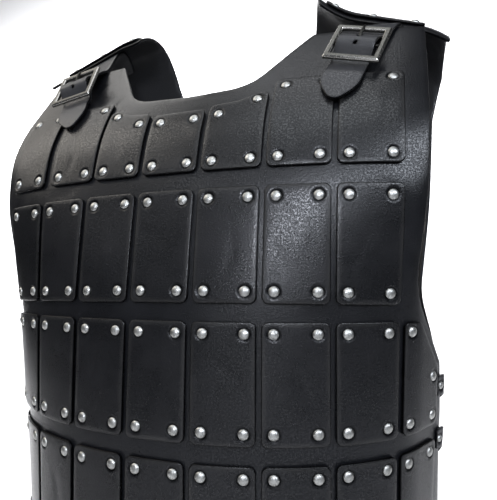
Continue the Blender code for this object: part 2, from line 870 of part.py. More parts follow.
def shoulder_strap(name, side, across, down, lean, swing):
    route, run_at = strap_route(side, across, down, lean, swing)
    half = 0.5 * STRAP_WIDTH
    end = route.runs[-1]
    corners = [
        (-half, 0.0, 0.0),
        (half, 0.0, 0.0),
        (half, end - STRAP_TIP_LENGTH, 30.0 * MM),
        (0.0, end, 9.0 * MM),
        (-half, end - STRAP_TIP_LENGTH, 30.0 * MM),
    ]
    spare = circle((0.0, 0.5 * (run_at[4] + run_at[8])), SPARE_HOLE, 8)
    slot = oblong(run_at[-13] + 0.3 * MM, run_at[-4] + 1.2 * MM, 2.5 * MM)
    folds = ([0.0], route.runs[1:-1], 1.2 * MM)
    leather(
        name, STRAP_LEATHER, route.place, folds, rounded(corners, closed=True), 0.0, STRAP,
        holes=[slot, spare], strap=True,
    )


def buckle_frame(side, across, down, lean):
    """The axes of a buckle on the front: its place on the leather, across, along and outward."""
    step = 2.0 * MM
    centre = FRONT.place(side * across, down, WALL)
    across_end = leaning_station(FRONT, side, across, down, lean, WALL)(step, 0.0)
    below = FRONT.place(
        side * (across - step * math.sin(lean)), down + step * math.cos(lean), WALL,
    )
    u = (across_end - centre).normalized()
    v = (below - centre).normalized()
    n = -side * u.cross(v).normalized()
    v = -side * n.cross(u).normalized()
    return centre, u, v, n


def rectangle_loop(bm, place, half_width, half_length, corner, height):
    spots = []
    for x, y in ((1, 1), (-1, 1), (-1, -1), (1, -1)):
        first = (x * half_width, y * (half_length - corner))
        second = (x * (half_width - corner), y * half_length)
        spots += [first, second] if x * y > 0 else [second, first]
    return [bm.verts.new(place(u, v, height)) for u, v in spots]


def bridge_rings(bm, rings):
    for ring, after in zip(rings, rings[1:] + rings[:1]):
        for index in range(len(ring)):
            other = (index + 1) % len(ring)
            bm.faces.new((ring[index], ring[other], after[other], after[index]))


def rod(place, path, radii, sides):
    """A closed bar of round section along a path in the buckle's middle plane or beside it."""
    bm = bmesh.new()
    rings = []
    for index, (u, v, h) in enumerate(path):
        before = Vector(path[max(index - 1, 0)])
        after = Vector(path[min(index + 1, len(path) - 1)])
        along = (after - before).normalized()
        sideways = Vector((0.0, 0.0, 1.0)) if abs(along.x) > 0.5 else Vector((1.0, 0.0, 0.0))
        other = along.cross(sideways).normalized()
        ring = []
        for step in range(sides):
            turn = 2.0 * math.pi * (step + 0.5) / sides
            spoke = radii[index] * (math.cos(turn) * sideways + math.sin(turn) * other)
            ring.append(bm.verts.new(place(u + spoke.x, v + spoke.y, h + spoke.z)))
        rings.append(ring)
    for ring, after in zip(rings, rings[1:]):
        for index in range(sides):
            beside = (index + 1) % sides
            bm.faces.new((ring[index], ring[beside], after[beside], after[index]))
    bm.faces.new(rings[0])
    bm.faces.new(rings[-1])
    return bm


def buckle(name, side, across, down, lean):
    """A square frame with a middle bar and a prong, made as one piece by union."""
    centre, u_axis, v_axis, n_axis = buckle_frame(side, across, down, lean)
    tilt = math.radians(BUCKLE_TILT)

    def flat(u, v, h):
        return centre + u_axis * u + v_axis * v + n_axis * (BUCKLE_LIFT + h)

    def tilted(u, v, h):
        return flat(u, v * math.cos(tilt) - h * math.sin(tilt),
                    v * math.sin(tilt) + h * math.cos(tilt) + FRAME_OVER_BAR)

    bm = bmesh.new()
    rings = []
    for inset_by, height in BUCKLE_SECTION:
        inset_by, height = inset_by * MM, height * MM
        corner = BUCKLE_CORNER - 0.4 * inset_by
        rings.append(rectangle_loop(
            bm, tilted, 0.5 * BUCKLE_WIDTH - inset_by, 0.5 * BUCKLE_LENGTH - inset_by,
            corner, height,
        ))
    bridge_rings(bm, rings)
    frame = finished_object(name, bm, NICKEL)
    reach = 0.5 * BUCKLE_WIDTH - 0.5 * BUCKLE_BAR
    bar = rod(flat, [(-reach, 0.0, 0.0), (reach, 0.0, 0.0)], [BAR_RADIUS] * 2, 8)
    prong = rod(flat, [(0.0, v * MM, h * MM) for v, h, _ in PRONG_PATH],
                [radius * MM for _, _, radius in PRONG_PATH], 6)
    for part_name, helper_mesh in (("bar", bar), ("prong", prong)):
        helper = finished_object(f"{name}_{part_name}_helper", helper_mesh, NICKEL)
        helper.hide_render = True
        helper.display_type = "WIRE"
        union = frame.modifiers.new(part_name, "BOOLEAN")
        union.operation = "UNION"
        union.solver = "EXACT"
        union.object = helper


def chape(name, side, across, down, lean):
    """The short strap folded round the buckle's middle bar, with a slot for the prong."""
    centre, u_axis, v_axis, n_axis = buckle_frame(side, across, down, lean)

    def station(v, h, normal_v, normal_h):
        def place(u, out):
            along, rise = v + normal_v * out, h + normal_h * out
            return centre + u_axis * u + v_axis * along + n_axis * rise
        return place

    lower, upper = SEAT + CHAPE, 2.0 * SEAT + CHAPE
    inner = BAR_RADIUS + SEAT
    start = math.radians(CHAPE_FOLD[0])
    turn = math.radians(CHAPE_FOLD[1] - CHAPE_FOLD[0])
    below, above = (math.radians(0.5 * (flat + fold)) for flat, fold in zip((270, 90), CHAPE_FOLD))
    stations = [
        station(CHAPE_REACH, lower, 0.0, -1.0),
        station(CHAPE_PINCH, lower, math.cos(below), math.sin(below)),
    ]
    for step in range(6):
        angle = start + turn * step / 5
        v, h = math.cos(angle), math.sin(angle)
        stations.append(station(inner * v, BUCKLE_LIFT + inner * h, v, h))
    stations += [
        station(CHAPE_PINCH, upper, math.cos(above), math.sin(above)),
        station(CHAPE_REACH, upper, 0.0, 1.0),
    ]
    route = Route(stations)
    half = 0.5 * CHAPE_WIDTH
    end = route.runs[-1]
    outline = [(-half, 0.0), (half, 0.0), (half, end), (-half, end)]
    middle = 0.5 * (route.runs[2] + route.runs[7])
    slot = oblong(middle - 2.5 * MM, middle + 2.5 * MM, 2.6 * MM)
    leather(
        name, STRAP_LEATHER, route.place, ([], route.runs[1:-1], 0.5 * MM), outline, 0.0, CHAPE,
        holes=[slot], strap=True,
    )


def side_strap(name, side, height, front_edge, back_edge):
    """A short strap over the open side, riveted to the front and to the back."""
    seats = (*SIDE_STRAP_SEATS, -SIDE_STRAP_PAST)
    stations = []
    for form, edge, ends in ((FRONT, front_edge, seats), (BACK, back_edge, seats[::-1])):
        down = form.down_at(height)
        for inwards in ends:
            stations.append(leaning_station(form, side, edge - inwards, down, 0.5 * math.pi,
                                            WALL + SEAT))
    route = Route(stations)
    half = 0.5 * SIDE_STRAP_WIDTH
    end = route.runs[-1]
    corners = [(-half, 0.0), (half, 0.0), (half, end), (-half, end)]
    outline = rounded([(x, y, 3.0 * MM) for x, y in corners], closed=True)
    rivets = [(0.0, 5.6 * MM), (0.0, end - 5.6 * MM)]
    leather(
        name, STRAP_LEATHER, route.place, ([], route.runs[1:-1], 1.2 * MM), outline, 0.0,
        SIDE_STRAP, rivets=rivets,
    )


def closures():
    for name, side, across, down, lean, swing in SHOULDER_CLOSURES:
        place = (side, across, down, math.radians(lean))
        shoulder_strap(f"shoulder_strap_{name}", *place, math.radians(swing))
        chape(f"shoulder_chape_{name}", *place)
        buckle(f"shoulder_buckle_{name}", *place)
    for level, *place in SIDE_STRAPS:
        for name, side in (("right", -1.0), ("left", 1.0)):
            side_strap(f"side_strap_{name}_{level}", side, *place)


FRONT_FOLDS = (fold_columns(), fold_rows(FRONT_HEM, FRONT_ROW_FOLDS), LEAST_EDGE)
BACK_FOLDS = (
    fold_columns(),
    [down * MM for down in SHOULDER_FOLDS] + fold_rows(BACK_HEM, BACK_ROW_FOLDS),
    LEAST_EDGE,
)

clear_scene()
panels()
riveted_plates()
closures()
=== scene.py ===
"""Studded leather body armour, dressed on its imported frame. Metres, +Z up, the wearer faces -Y."""
import math

import bpy
import numpy as np
from mathutils import Matrix, Vector
from mathutils.geometry import delaunay_2d_cdt


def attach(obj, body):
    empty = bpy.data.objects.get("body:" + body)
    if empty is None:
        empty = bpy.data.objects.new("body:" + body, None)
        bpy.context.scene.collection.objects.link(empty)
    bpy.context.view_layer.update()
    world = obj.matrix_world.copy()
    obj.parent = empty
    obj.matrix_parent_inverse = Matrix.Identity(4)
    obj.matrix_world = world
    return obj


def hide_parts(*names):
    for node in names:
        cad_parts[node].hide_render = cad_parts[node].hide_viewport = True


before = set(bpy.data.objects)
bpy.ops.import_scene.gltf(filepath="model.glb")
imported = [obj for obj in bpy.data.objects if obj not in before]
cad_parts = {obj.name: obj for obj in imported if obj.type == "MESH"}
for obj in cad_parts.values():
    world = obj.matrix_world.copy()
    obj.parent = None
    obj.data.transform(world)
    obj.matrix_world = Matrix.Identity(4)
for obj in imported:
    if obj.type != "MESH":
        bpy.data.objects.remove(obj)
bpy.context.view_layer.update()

MM = 0.001


# The front panel: one piece of thick black cow leather, cut with a neck, two shoulder tabs, two
# armholes and side edges, and wet-formed round the body. Sizes run across from the middle and
# down from the shoulder, along the leather.

ROUNDNESS = 2.12
GUIDE = 185.0 * MM
WALL = 3.0 * MM
SEAT = 0.45 * MM
PLATE = 3.0 * MM
SIDE_RISE_AT = 230.0 * MM
FRONT_STRAIGHT = 248.0 * MM
FRONT_SECTIONS = (
    # height, half_breadth, depth, centre, side_rise
    (-20, 260, 45, -11, 0),
    (-37, 259, 46, -24, 0),
    (-77, 257, 47, -53, 0),
    (-117, 255, 49, -80, 0),
    (-153, 253, 51, -96.5, 0),
    (-189, 250, 56, -102, -1),
    (-225, 245, 64, -101, -2),
    (-307, 233, 95, -80, -3),
    (-344, 232, 108, -69, 1),
    (-428, 231, 130, -49, 4),
    (-464, 229, 138, -41, 5),
    (-573, 224, 150, -27, 6),
)
FRONT_OUTLINE = (
    # across, down, radius
    (0, 88, 0),
    (66, 83, 40),
    (121, -12, 5),
    (238, -8, 5),
    (238, 215, 90),
    (234.5, 292, 60),
    (286, 368, 6),
    (300, 560.5, 7),
    (0, 560.5, 0),
)
# Creases worn into the front: where, how long and wide, which way, how deep
FRONT_CREASES = (
    # across, down, length, width, turn, depth
    (222, 178, 46, 5.0, 62, 0.9),
    (214, 205, 58, 6.5, 48, -0.7),
    (205, 232, 40, 5.5, 55, 0.8),
    (228, 262, 34, 4.5, 30, 0.7),
    (-224, 170, 52, 5.5, 118, 0.8),
    (-212, 214, 44, 6.0, 128, 0.9),
    (-226, 258, 38, 4.5, 146, -0.6),
    (262, 352, 30, 4.0, 20, 0.8),
    (-258, 356, 34, 4.5, 158, 0.7),
    (180, 22, 40, 6.0, 8, 0.6),
    (-150, 30, 46, 6.5, 172, 0.7),
    (104, 72, 32, 5.0, 70, 0.6),
    (-96, 78, 36, 5.0, 112, 0.7),
    (40, 194, 60, 5.5, 4, 0.5),
    (-130, 196, 48, 5.0, 177, 0.5),
    (150, 315, 52, 5.5, 2, 0.5),
    (-40, 314, 64, 6.0, 178, -0.4),
    (288, 470, 44, 5.0, 84, 0.6),
)


def eased(share, start, leave, end, arrive):
    """A cubic from start to end that leaves and arrives with the given slopes."""
    square, cube = share ** 2, share ** 3
    return (
        (2 * cube - 3 * square + 1) * start + (cube - 2 * square + share) * leave
        + (3 * square - 2 * cube) * end + (cube - square) * arrive
    )


class Form:
    """The bent form that the leather lies on, worked out once on a fine table: across runs
    round the body, down runs along the leather, out is measured off the inner side."""

    CELL = 1.0 * MM
    FIRST = -75.0 * MM
    ROWS = 720
    COLUMNS = 350
    LAST_STEP = 1.5 * MM  # past its bent part the form goes on straight, the way this step points

    def __init__(self, sections, facing, zero_section, lift, face, straight):
        table = np.array(sections, float)
        table[:, :4] *= MM
        guide = table[:, 3] + facing * table[:, 2] * (
            1.0 - (GUIDE / table[:, 1]) ** ROUNDNESS
        ) ** (1.0 / ROUNDNESS)
        steps = np.hypot(np.diff(table[:, 0]), np.diff(guide))
        known = np.concatenate([[0.0], np.cumsum(steps)])
        known -= known[zero_section]
        self.face = face
        self.facing = facing
        self.heights = (known, table[:, 0])
        trend = np.gradient(table, axis=0)
        trend[1:-1] = (table[2:] - table[:-2]) / (known[2:] - known[:-2])[:, None]
        trend[0] = (table[1] - table[0]) / (known[1] - known[0])
        trend[-1] = (table[-1] - table[-2]) / (known[-1] - known[-2])
        down = self.FIRST + self.CELL * np.arange(self.ROWS)
        index = np.clip(np.searchsorted(known, down, side="right") - 1, 0, len(known) - 2)
        length = (known[index + 1] - known[index])[:, None]
        share = (down[:, None] - known[index][:, None]) / length
        leave, arrive = trend[index] * length, trend[index + 1] * length
        rows = eased(share, table[index], leave, table[index + 1], arrive)
        before, past = share[:, 0] < 0.0, share[:, 0] > 1.0
        rows[before] = (table[index] + leave * share)[before]
        rows[past] = (table[index + 1] + arrive * (share - 1.0))[past]
        turn = np.linspace(0.0, 0.5 * np.pi, 481)
        sine = np.sin(turn) ** (2.0 / ROUNDNESS)
        cosine = np.maximum(np.cos(turn), 0.0) ** (2.0 / ROUNDNESS)
        across = self.CELL * np.arange(self.COLUMNS)
        self.grids = np.zeros((2, self.ROWS, self.COLUMNS, 3))
        for row, (height, breadth, depth, centre, side) in enumerate(rows):
            x, y = breadth * sine, depth * cosine
            round_it = np.concatenate([[0.0], np.cumsum(np.hypot(np.diff(x), np.diff(y)))])
            bent = min(round_it[-1], straight)
            beyond = np.maximum(across - bent, 0.0) / self.LAST_STEP
            on_x, on_y = (
                np.interp(np.minimum(across, bent), round_it, line) + beyond * (
                    np.interp(bent, round_it, line)
                    - np.interp(bent - self.LAST_STEP, round_it, line))
                for line in (x, y)
            )
            for half, sign in ((0, 1.0), (1, -1.0)):
                self.grids[half, row, :, 0] = sign * on_x
                self.grids[half, row, :, 1] = centre + facing * on_y
                self.grids[half, row, :, 2] = height + lift(sign * on_x, across, side)

    def surface(self, across, down):
        half = (across < 0.0).astype(int)
        row = np.clip((down - self.FIRST) / self.CELL, 0.0, self.ROWS - 1.001)
        column = np.clip(np.abs(across) / self.CELL, 0.0, self.COLUMNS - 1.001)
        i, j = row.astype(int), column.astype(int)
        a, b = (row - i)[:, None], (column - j)[:, None]
        grid = self.grids
        upper = grid[half, i, j] * (1 - b) + grid[half, i, j + 1] * b
        lower = grid[half, i + 1, j] * (1 - b) + grid[half, i + 1, j + 1] * b
        return upper * (1 - a) + lower * a

    def normal(self, across, down, reach=3.0 * MM):
        along = self.surface(across + reach, down) - self.surface(across - reach, down)
        below = self.surface(across, down + reach) - self.surface(across, down - reach)
        normal = self.facing * np.cross(along, below)
        return normal / np.linalg.norm(normal, axis=1)[:, None]

    def place(self, across, down, out):
        across, down, out = (np.asarray(value, float) for value in (across, down, out))
        lift = (out - self.face)[:, None]
        return self.surface(across, down) + self.normal(across, down) * lift

    def down_at(self, height):
        known, heights = self.heights
        return float(np.interp(-height, -heights, known))


def front_lift(x, across, rise):
    return rise * MM * (across / SIDE_RISE_AT) ** 2


FRONT = Form(FRONT_SECTIONS, -1, 1, front_lift, WALL + SEAT + PLATE, FRONT_STRAIGHT)


def rounded(corners, closed=True):
    """Points of an outline given by its corners in metres, each with a radius."""
    points = []
    for index, (x, y, radius) in enumerate(corners):
        if radius <= 0.0 or (not closed and index in (0, len(corners) - 1)):
            points.append((x, y))
            continue
        here = Vector((x, y))
        back = Vector(corners[index - 1][:2]) - here
        ahead = Vector(corners[(index + 1) % len(corners)][:2]) - here
        opening = back.angle(ahead)
        cut = min(radius / math.tan(opening / 2.0), back.length * 0.48, ahead.length * 0.48)
        fit = cut * math.tan(opening / 2.0)
        centre = here + (back.normalized() + ahead.normalized()).normalized() * (
            fit / math.sin(opening / 2.0)
        )
        start = here + back.normalized() * cut - centre
        turn = start.angle_signed(here + ahead.normalized() * cut - centre)
        steps = max(3, math.ceil(abs(turn) / math.radians(15.0)))
        for step in range(steps + 1):
            spot = centre + Matrix.Rotation(-turn * step / steps, 2) @ start
            points.append((spot.x, spot.y))
    return points


def cornered(corners, radius):
    """A closed outline with the same radius at all its corners."""
    return rounded([(x, y, radius) for x, y in corners])


def both_halves(table):
    """A whole outline from the half that starts and ends on the middle line."""
    half = rounded([(x * MM, y * MM, radius * MM) for x, y, radius in table], closed=False)
    return half + [(-x, y) for x, y in reversed(half[1:-1])]


def spaced(loop, spacing):
    """The closed loop, anticlockwise, with points no further apart than the spacing."""
    loop = np.array(loop, float)
    ahead = np.roll(loop, -1, axis=0)
    if (loop[:, 0] * ahead[:, 1] - ahead[:, 0] * loop[:, 1]).sum() < 0.0:
        loop = loop[::-1]
        ahead = np.roll(loop, -1, axis=0)
    pieces = []
    for start, end in zip(loop, ahead):
        count = max(1, math.ceil(np.hypot(*(end - start)) / spacing))
        pieces.append(start + (end - start) * (np.arange(count) / count)[:, None])
    return np.concatenate(pieces)


def inset(loop, distance):
    """Each point of an anticlockwise loop moved inwards."""
    along = np.roll(loop, -1, axis=0) - np.roll(loop, 1, axis=0)
    along /= np.linalg.norm(along, axis=1)[:, None]
    return loop + distance * np.stack([-along[:, 1], along[:, 0]], axis=1)


def inside(points, loop):
    found = np.zeros(len(points), bool)
    x, y = points[:, 0], points[:, 1]
    for (ax, ay), (bx, by) in zip(loop, np.roll(loop, -1, axis=0)):
        if ay != by:
            found ^= ((ay > y) != (by > y)) & (x < ax + (y - ay) * (bx - ax) / (by - ay))
    return found


def edge_distance(points, loops):
    """How far each point lies from the nearest of the loops."""
    nearest = np.full(len(points), 1.0)
    for loop in loops:
        for a, b in zip(loop, np.roll(loop, -1, axis=0)):
            side = b - a
            share = np.clip((points - a) @ side / (side @ side), 0.0, 1.0)
            apart = np.linalg.norm(points - a - share[:, None] * side, axis=1)
            nearest = np.minimum(nearest, apart)
    return nearest


CREASE_BOW = 0.12
CREASE_REACH = 0.42


def creased(points, creases):
    """Height of soft troughs, or of ridges where the depth is below nought."""
    height = np.zeros(len(points))
    for across, down, length, width, turn, depth in creases:
        away = points - np.array([across, down]) * MM
        angle = math.radians(turn)
        along = away @ np.array([math.cos(angle), math.sin(angle)])
        off = away @ np.array([-math.sin(angle), math.cos(angle)])
        bow = off - CREASE_BOW * length * MM * (along / (0.5 * length * MM)) ** 2
        fade = np.exp(-((along / (CREASE_REACH * length * MM)) ** 4))
        height -= depth * MM * fade * np.exp(-((bow / (width * MM)) ** 2))
    return height


def wavy(points, size, height, seed):
    """Slow unevenness of thick leather: a few long waves with fixed starts."""
    draw = np.random.default_rng(seed)
    total = np.zeros(len(points))
    for _ in range(5):
        turn, start = draw.uniform(0.0, 2.0 * np.pi, 2)
        length = size * draw.uniform(0.7, 1.6)
        total += np.sin((points @ [math.cos(turn), math.sin(turn)]) * 2.0 * np.pi / length + start)
    return total * height / 3.0


RIM = (
    # shares of the rounding inwards and down from the top, how rubbed, how much painted shade
    (1.0, 0.0, 0.7, 0.0),
    (0.42, 0.13, 0.4, 0.6),
    (0.12, 0.36, 0.0, 1.0),
    (0.0, 0.7, 0.0, 1.0),
)
RUB_FADE = 1.0 * MM
RELIEF_FADE = 4.0 * MM
RIVET_SINK = 0.8 * MM
SINK_REACH = 6.0 * MM
RIVET_RIM = 0.2 * MM
RIM_AT, RIM_SPREAD = 7.0 * MM, 0.9 * MM
# The painted shade round each rivet: a dark band at this distance and the whole dimple inside it.
SHADE_RING_AT, SHADE_RING_SPREAD = 5.5 * MM, 0.7 * MM
RIVET_RINGS = (4.7 * MM, 5.5 * MM, 6.2 * MM, 7.0 * MM, 8.2 * MM)
RING_POINTS = 18


def leather_wall(name, place, outline, lift, thickness, spacing, relief=None, rivets=(), holes=(),
                 rounding=1.0 * MM, inner_spacing=None, tone=0.5):
    """A closed wall of leather laid on its form. The edge is rounded over, the outer side takes the
    relief and a sunk ring round each rivet, and the inner side is plain. Its UV map is the flat
    cut in metres; edge, ring, flesh and tone say where it is rubbed, painted with shade, rough or
    pale."""
    outline = spaced(outline, spacing)
    holes = [spaced(hole, 1.5 * MM)[::-1] for hole in holes]
    loops = [outline, *holes]
    top = lift + thickness
    rivets = np.array(rivets, float).reshape(-1, 2)

    def field(step, border, dots):
        low, high = outline.min(axis=0), outline.max(axis=0)
        counts = np.ceil((high - low) / step).astype(int)
        xs = low[0] + (high[0] - low[0]) * (np.arange(counts[0]) + 0.5) / counts[0]
        ys = low[1] + (high[1] - low[1]) * (np.arange(counts[1]) + 0.5) / counts[1]
        spots = np.stack(np.meshgrid(xs, ys), axis=-1).reshape(-1, 2)
        kept = inside(spots, border[0])
        for hole in border[1:]:
            kept &= ~inside(spots, hole)
        spots = spots[kept]
        spots = spots[edge_distance(spots, border) > 0.55 * step]
        if dots and len(rivets):
            apart = np.linalg.norm(spots[:, None] - rivets[None], axis=2).min(axis=1)
            spots = spots[apart > RIVET_RINGS[-1] + 0.4 * step]
            rings = [rivets]
            for order, radius in enumerate(RIVET_RINGS):
                turns = 2.0 * np.pi * (np.arange(RING_POINTS) + 0.5 * (order % 2)) / RING_POINTS
                circle = radius * np.stack([np.cos(turns), np.sin(turns)], axis=1)
                rings.append((rivets[:, None] + circle[None]).reshape(-1, 2))
            ringed = np.concatenate(rings)
            ringed = ringed[edge_distance(ringed, border) > 0.5 * MM]
            spots = np.concatenate([spots, ringed])
        return spots

    def filled(border, spots):
        """Triangles over the border's inside, its loops first in the list of points."""
        points = np.concatenate([*border, spots])
        edges, start = [], 0
        for loop in border:
            count = len(loop)
            edges += [(start + k, start + (k + 1) % count) for k in range(count)]
            start += count
        _, _, faces, origins = delaunay_2d_cdt(
            [Vector(p) for p in points], edges, [list(range(len(border[0])))], 1, 1e-9
        )[:4]
        source = [origin[0] for origin in origins]
        faces = np.array([[source[c] for c in face] for face in faces])
        middles = points[faces].mean(axis=1)
        kept = np.ones(len(faces), bool)
        for hole in border[1:]:
            kept &= ~inside(middles, hole)
        return points, faces[kept]

    flat, heights, rub, dark, faces = [], [], [], [], []

    def add(points, height, rubbed, darkened=0.0):
        start = sum(len(part) for part in flat)
        flat.append(points)
        for kept, values in ((heights, height), (rub, rubbed), (dark, darkened)):
            kept.append(np.broadcast_to(values, len(points)).astype(float))
        return start

    outer_border = [inset(loop, rounding * RIM[0][0]) for loop in loops]
    points, triangles = filled(outer_border, field(spacing, outer_border, True))
    apart = edge_distance(points, loops)
    height = np.full(len(points), top)
    if relief is not None:
        height += relief(points) * np.clip((apart - rounding) / RELIEF_FADE, 0.0, 1.0)
    sunk = np.zeros(len(points))
    if len(rivets):
        near = np.linalg.norm(points[:, None] - rivets[None], axis=2).min(axis=1)
        height -= RIVET_SINK * np.exp(-((near / SINK_REACH) ** 8))
        height += RIVET_RIM * np.exp(-(((near - RIM_AT) / RIM_SPREAD) ** 2))
        # Painted shade: a dark band round each rivet's sunk ring and all inside it, for the shade
        # that falls there.
        ring = np.exp(-(((near - SHADE_RING_AT) / SHADE_RING_SPREAD) ** 2))
        sunk = np.minimum(ring + (near < SHADE_RING_AT), 1.0)
    rubbed = RIM[0][2] * np.exp(-(apart - rounding) / RUB_FADE)
    outer_start = add(points, height, rubbed, sunk)
    faces.append(triangles + outer_start)

    inner_border = [inset(loop, 0.5 * rounding) for loop in loops]
    inner_spacing = inner_spacing or spacing
    points, triangles = filled(inner_border, field(inner_spacing, inner_border, False))
    inner_start = add(points, lift, 0.2)
    faces.append(triangles[:, ::-1] + inner_start)

    offset = 0
    for loop in loops:
        count = len(loop)
        order = np.arange(count)
        after = (order + 1) % count
        ring = outer_start + offset + order
        starts = [add(inset(loop, rounding * inwards), top - rounding * downwards, rubbed, darkened)
                  for inwards, downwards, rubbed, darkened in RIM[1:]]
        # The foot of each cut side is all painted shade.
        starts += [add(loop, lift + 0.5 * rounding, 0.0, 1.0), inner_start + offset]
        for start in starts:
            below = start + order
            faces += [np.stack([ring, below, below[after]], 1),
                      np.stack([ring, below[after], ring[after]], 1)]
            ring = below
        offset += count

    flat, heights, rub, dark = (np.concatenate(part) for part in (flat, heights, rub, dark))
    faces = np.concatenate(faces)
    used = np.zeros(len(flat), bool)
    used[faces] = True
    number = np.cumsum(used) - 1
    flesh = np.zeros(len(flat))
    flesh[inner_start:inner_start + len(points)] = 1.0
    flat, heights = flat[used], heights[used]
    faces = number[faces]
    spots = place(flat[:, 0], flat[:, 1], heights)

    mesh = bpy.data.meshes.new(name)
    mesh.from_pydata(spots.tolist(), [], faces.tolist())
    uv = mesh.uv_layers.new(name="cut")
    uv.data.foreach_set("uv", flat[faces.ravel()].astype(np.float32).ravel())
    # ring carries the painted shade round the rivets and down the cut sides.
    marks = {"edge": rub[used], "ring": dark[used], "flesh": flesh[used],
             "tone": np.full(len(flat), tone)}
    for label, values in marks.items():
        layer = mesh.attributes.new(label, "FLOAT", "POINT")
        layer.data.foreach_set("value", values.astype(np.float32))
    mesh.shade_smooth()
    turned_outwards(mesh)
    thing = bpy.data.objects.new(name, mesh)
    bpy.context.collection.objects.link(thing)
    return thing


def turned_outwards(mesh):
    """Turns the closed mesh's faces round if they point inwards."""
    mesh.calc_loop_triangles()
    spots = np.array([vert.co for vert in mesh.vertices])
    corners = np.array([triangle.vertices for triangle in mesh.loop_triangles])
    a, b, c = spots[corners[:, 0]], spots[corners[:, 1]], spots[corners[:, 2]]
    if np.einsum("ij,ij->i", a, np.cross(b, c)).sum() < 0.0:
        mesh.flip_normals()


def give(tree, target, inputs):
    """Gives the node's inputs their values, or links them to other nodes' outputs."""
    for socket, value in inputs.items():
        if isinstance(value, bpy.types.NodeSocket):
            tree.links.new(value, target.inputs[socket])
        else:
            target.inputs[socket].default_value = value
    return target.outputs


def node(tree, kind, inputs=None, **settings):
    """The outputs of a new node with these settings and inputs."""
    made = tree.nodes.new(kind)
    for key, value in settings.items():
        setattr(made, key, value)
    return give(tree, made, inputs or {})


def math_node(tree, operation, *inputs, **settings):
    """The one output of a new Math node."""
    return node(tree, "ShaderNodeMath", dict(enumerate(inputs)), operation=operation, **settings)[0]


def node_group(name, kind, inputs, outputs):
    """An empty group with its sockets, given as label: type, and what comes into it."""
    tree = bpy.data.node_groups.new(name, kind)
    for way, sockets in (("INPUT", inputs), ("OUTPUT", outputs)):
        for label, socket_type in sockets.items():
            tree.interface.new_socket(label, in_out=way, socket_type="NodeSocket" + socket_type)
    return tree, node(tree, "NodeGroupInput")


def grain_group():
    """Leather grain: small uneven pebbles with fine pores, as one height."""
    tree, given = node_group(
        "leather_grain", "ShaderNodeTree",
        {"Cut": "Vector", "Pebbles": "Float", "Pebble Height": "Float", "Pores": "Float",
         "Pore Height": "Float"},
        {"Height": "Float", "Hollows": "Float"},
    )
    warp = node(tree, "ShaderNodeTexNoise", {"Vector": given["Cut"], "Scale": 260.0, "Detail": 1.0})
    bent = node(tree, "ShaderNodeMix", {"Factor": 0.0012, 4: given["Cut"], 5: warp["Color"]},
                data_type="VECTOR")[1]
    cells = node(tree, "ShaderNodeTexVoronoi", {
        "Vector": bent, "Scale": given["Pebbles"], "Smoothness": 0.35}, feature="SMOOTH_F1")
    pores = node(tree, "ShaderNodeTexNoise", {
        "Vector": bent, "Scale": given["Pores"], "Detail": 3.0, "Roughness": 0.6})
    pebbled = math_node(tree, "MULTIPLY", cells["Distance"], given["Pebble Height"])
    pored = math_node(tree, "MULTIPLY", pores["Fac"], given["Pore Height"])
    node(tree, "NodeGroupOutput", {
        "Height": math_node(tree, "SUBTRACT", pored, pebbled), "Hollows": cells["Distance"]})
    return tree


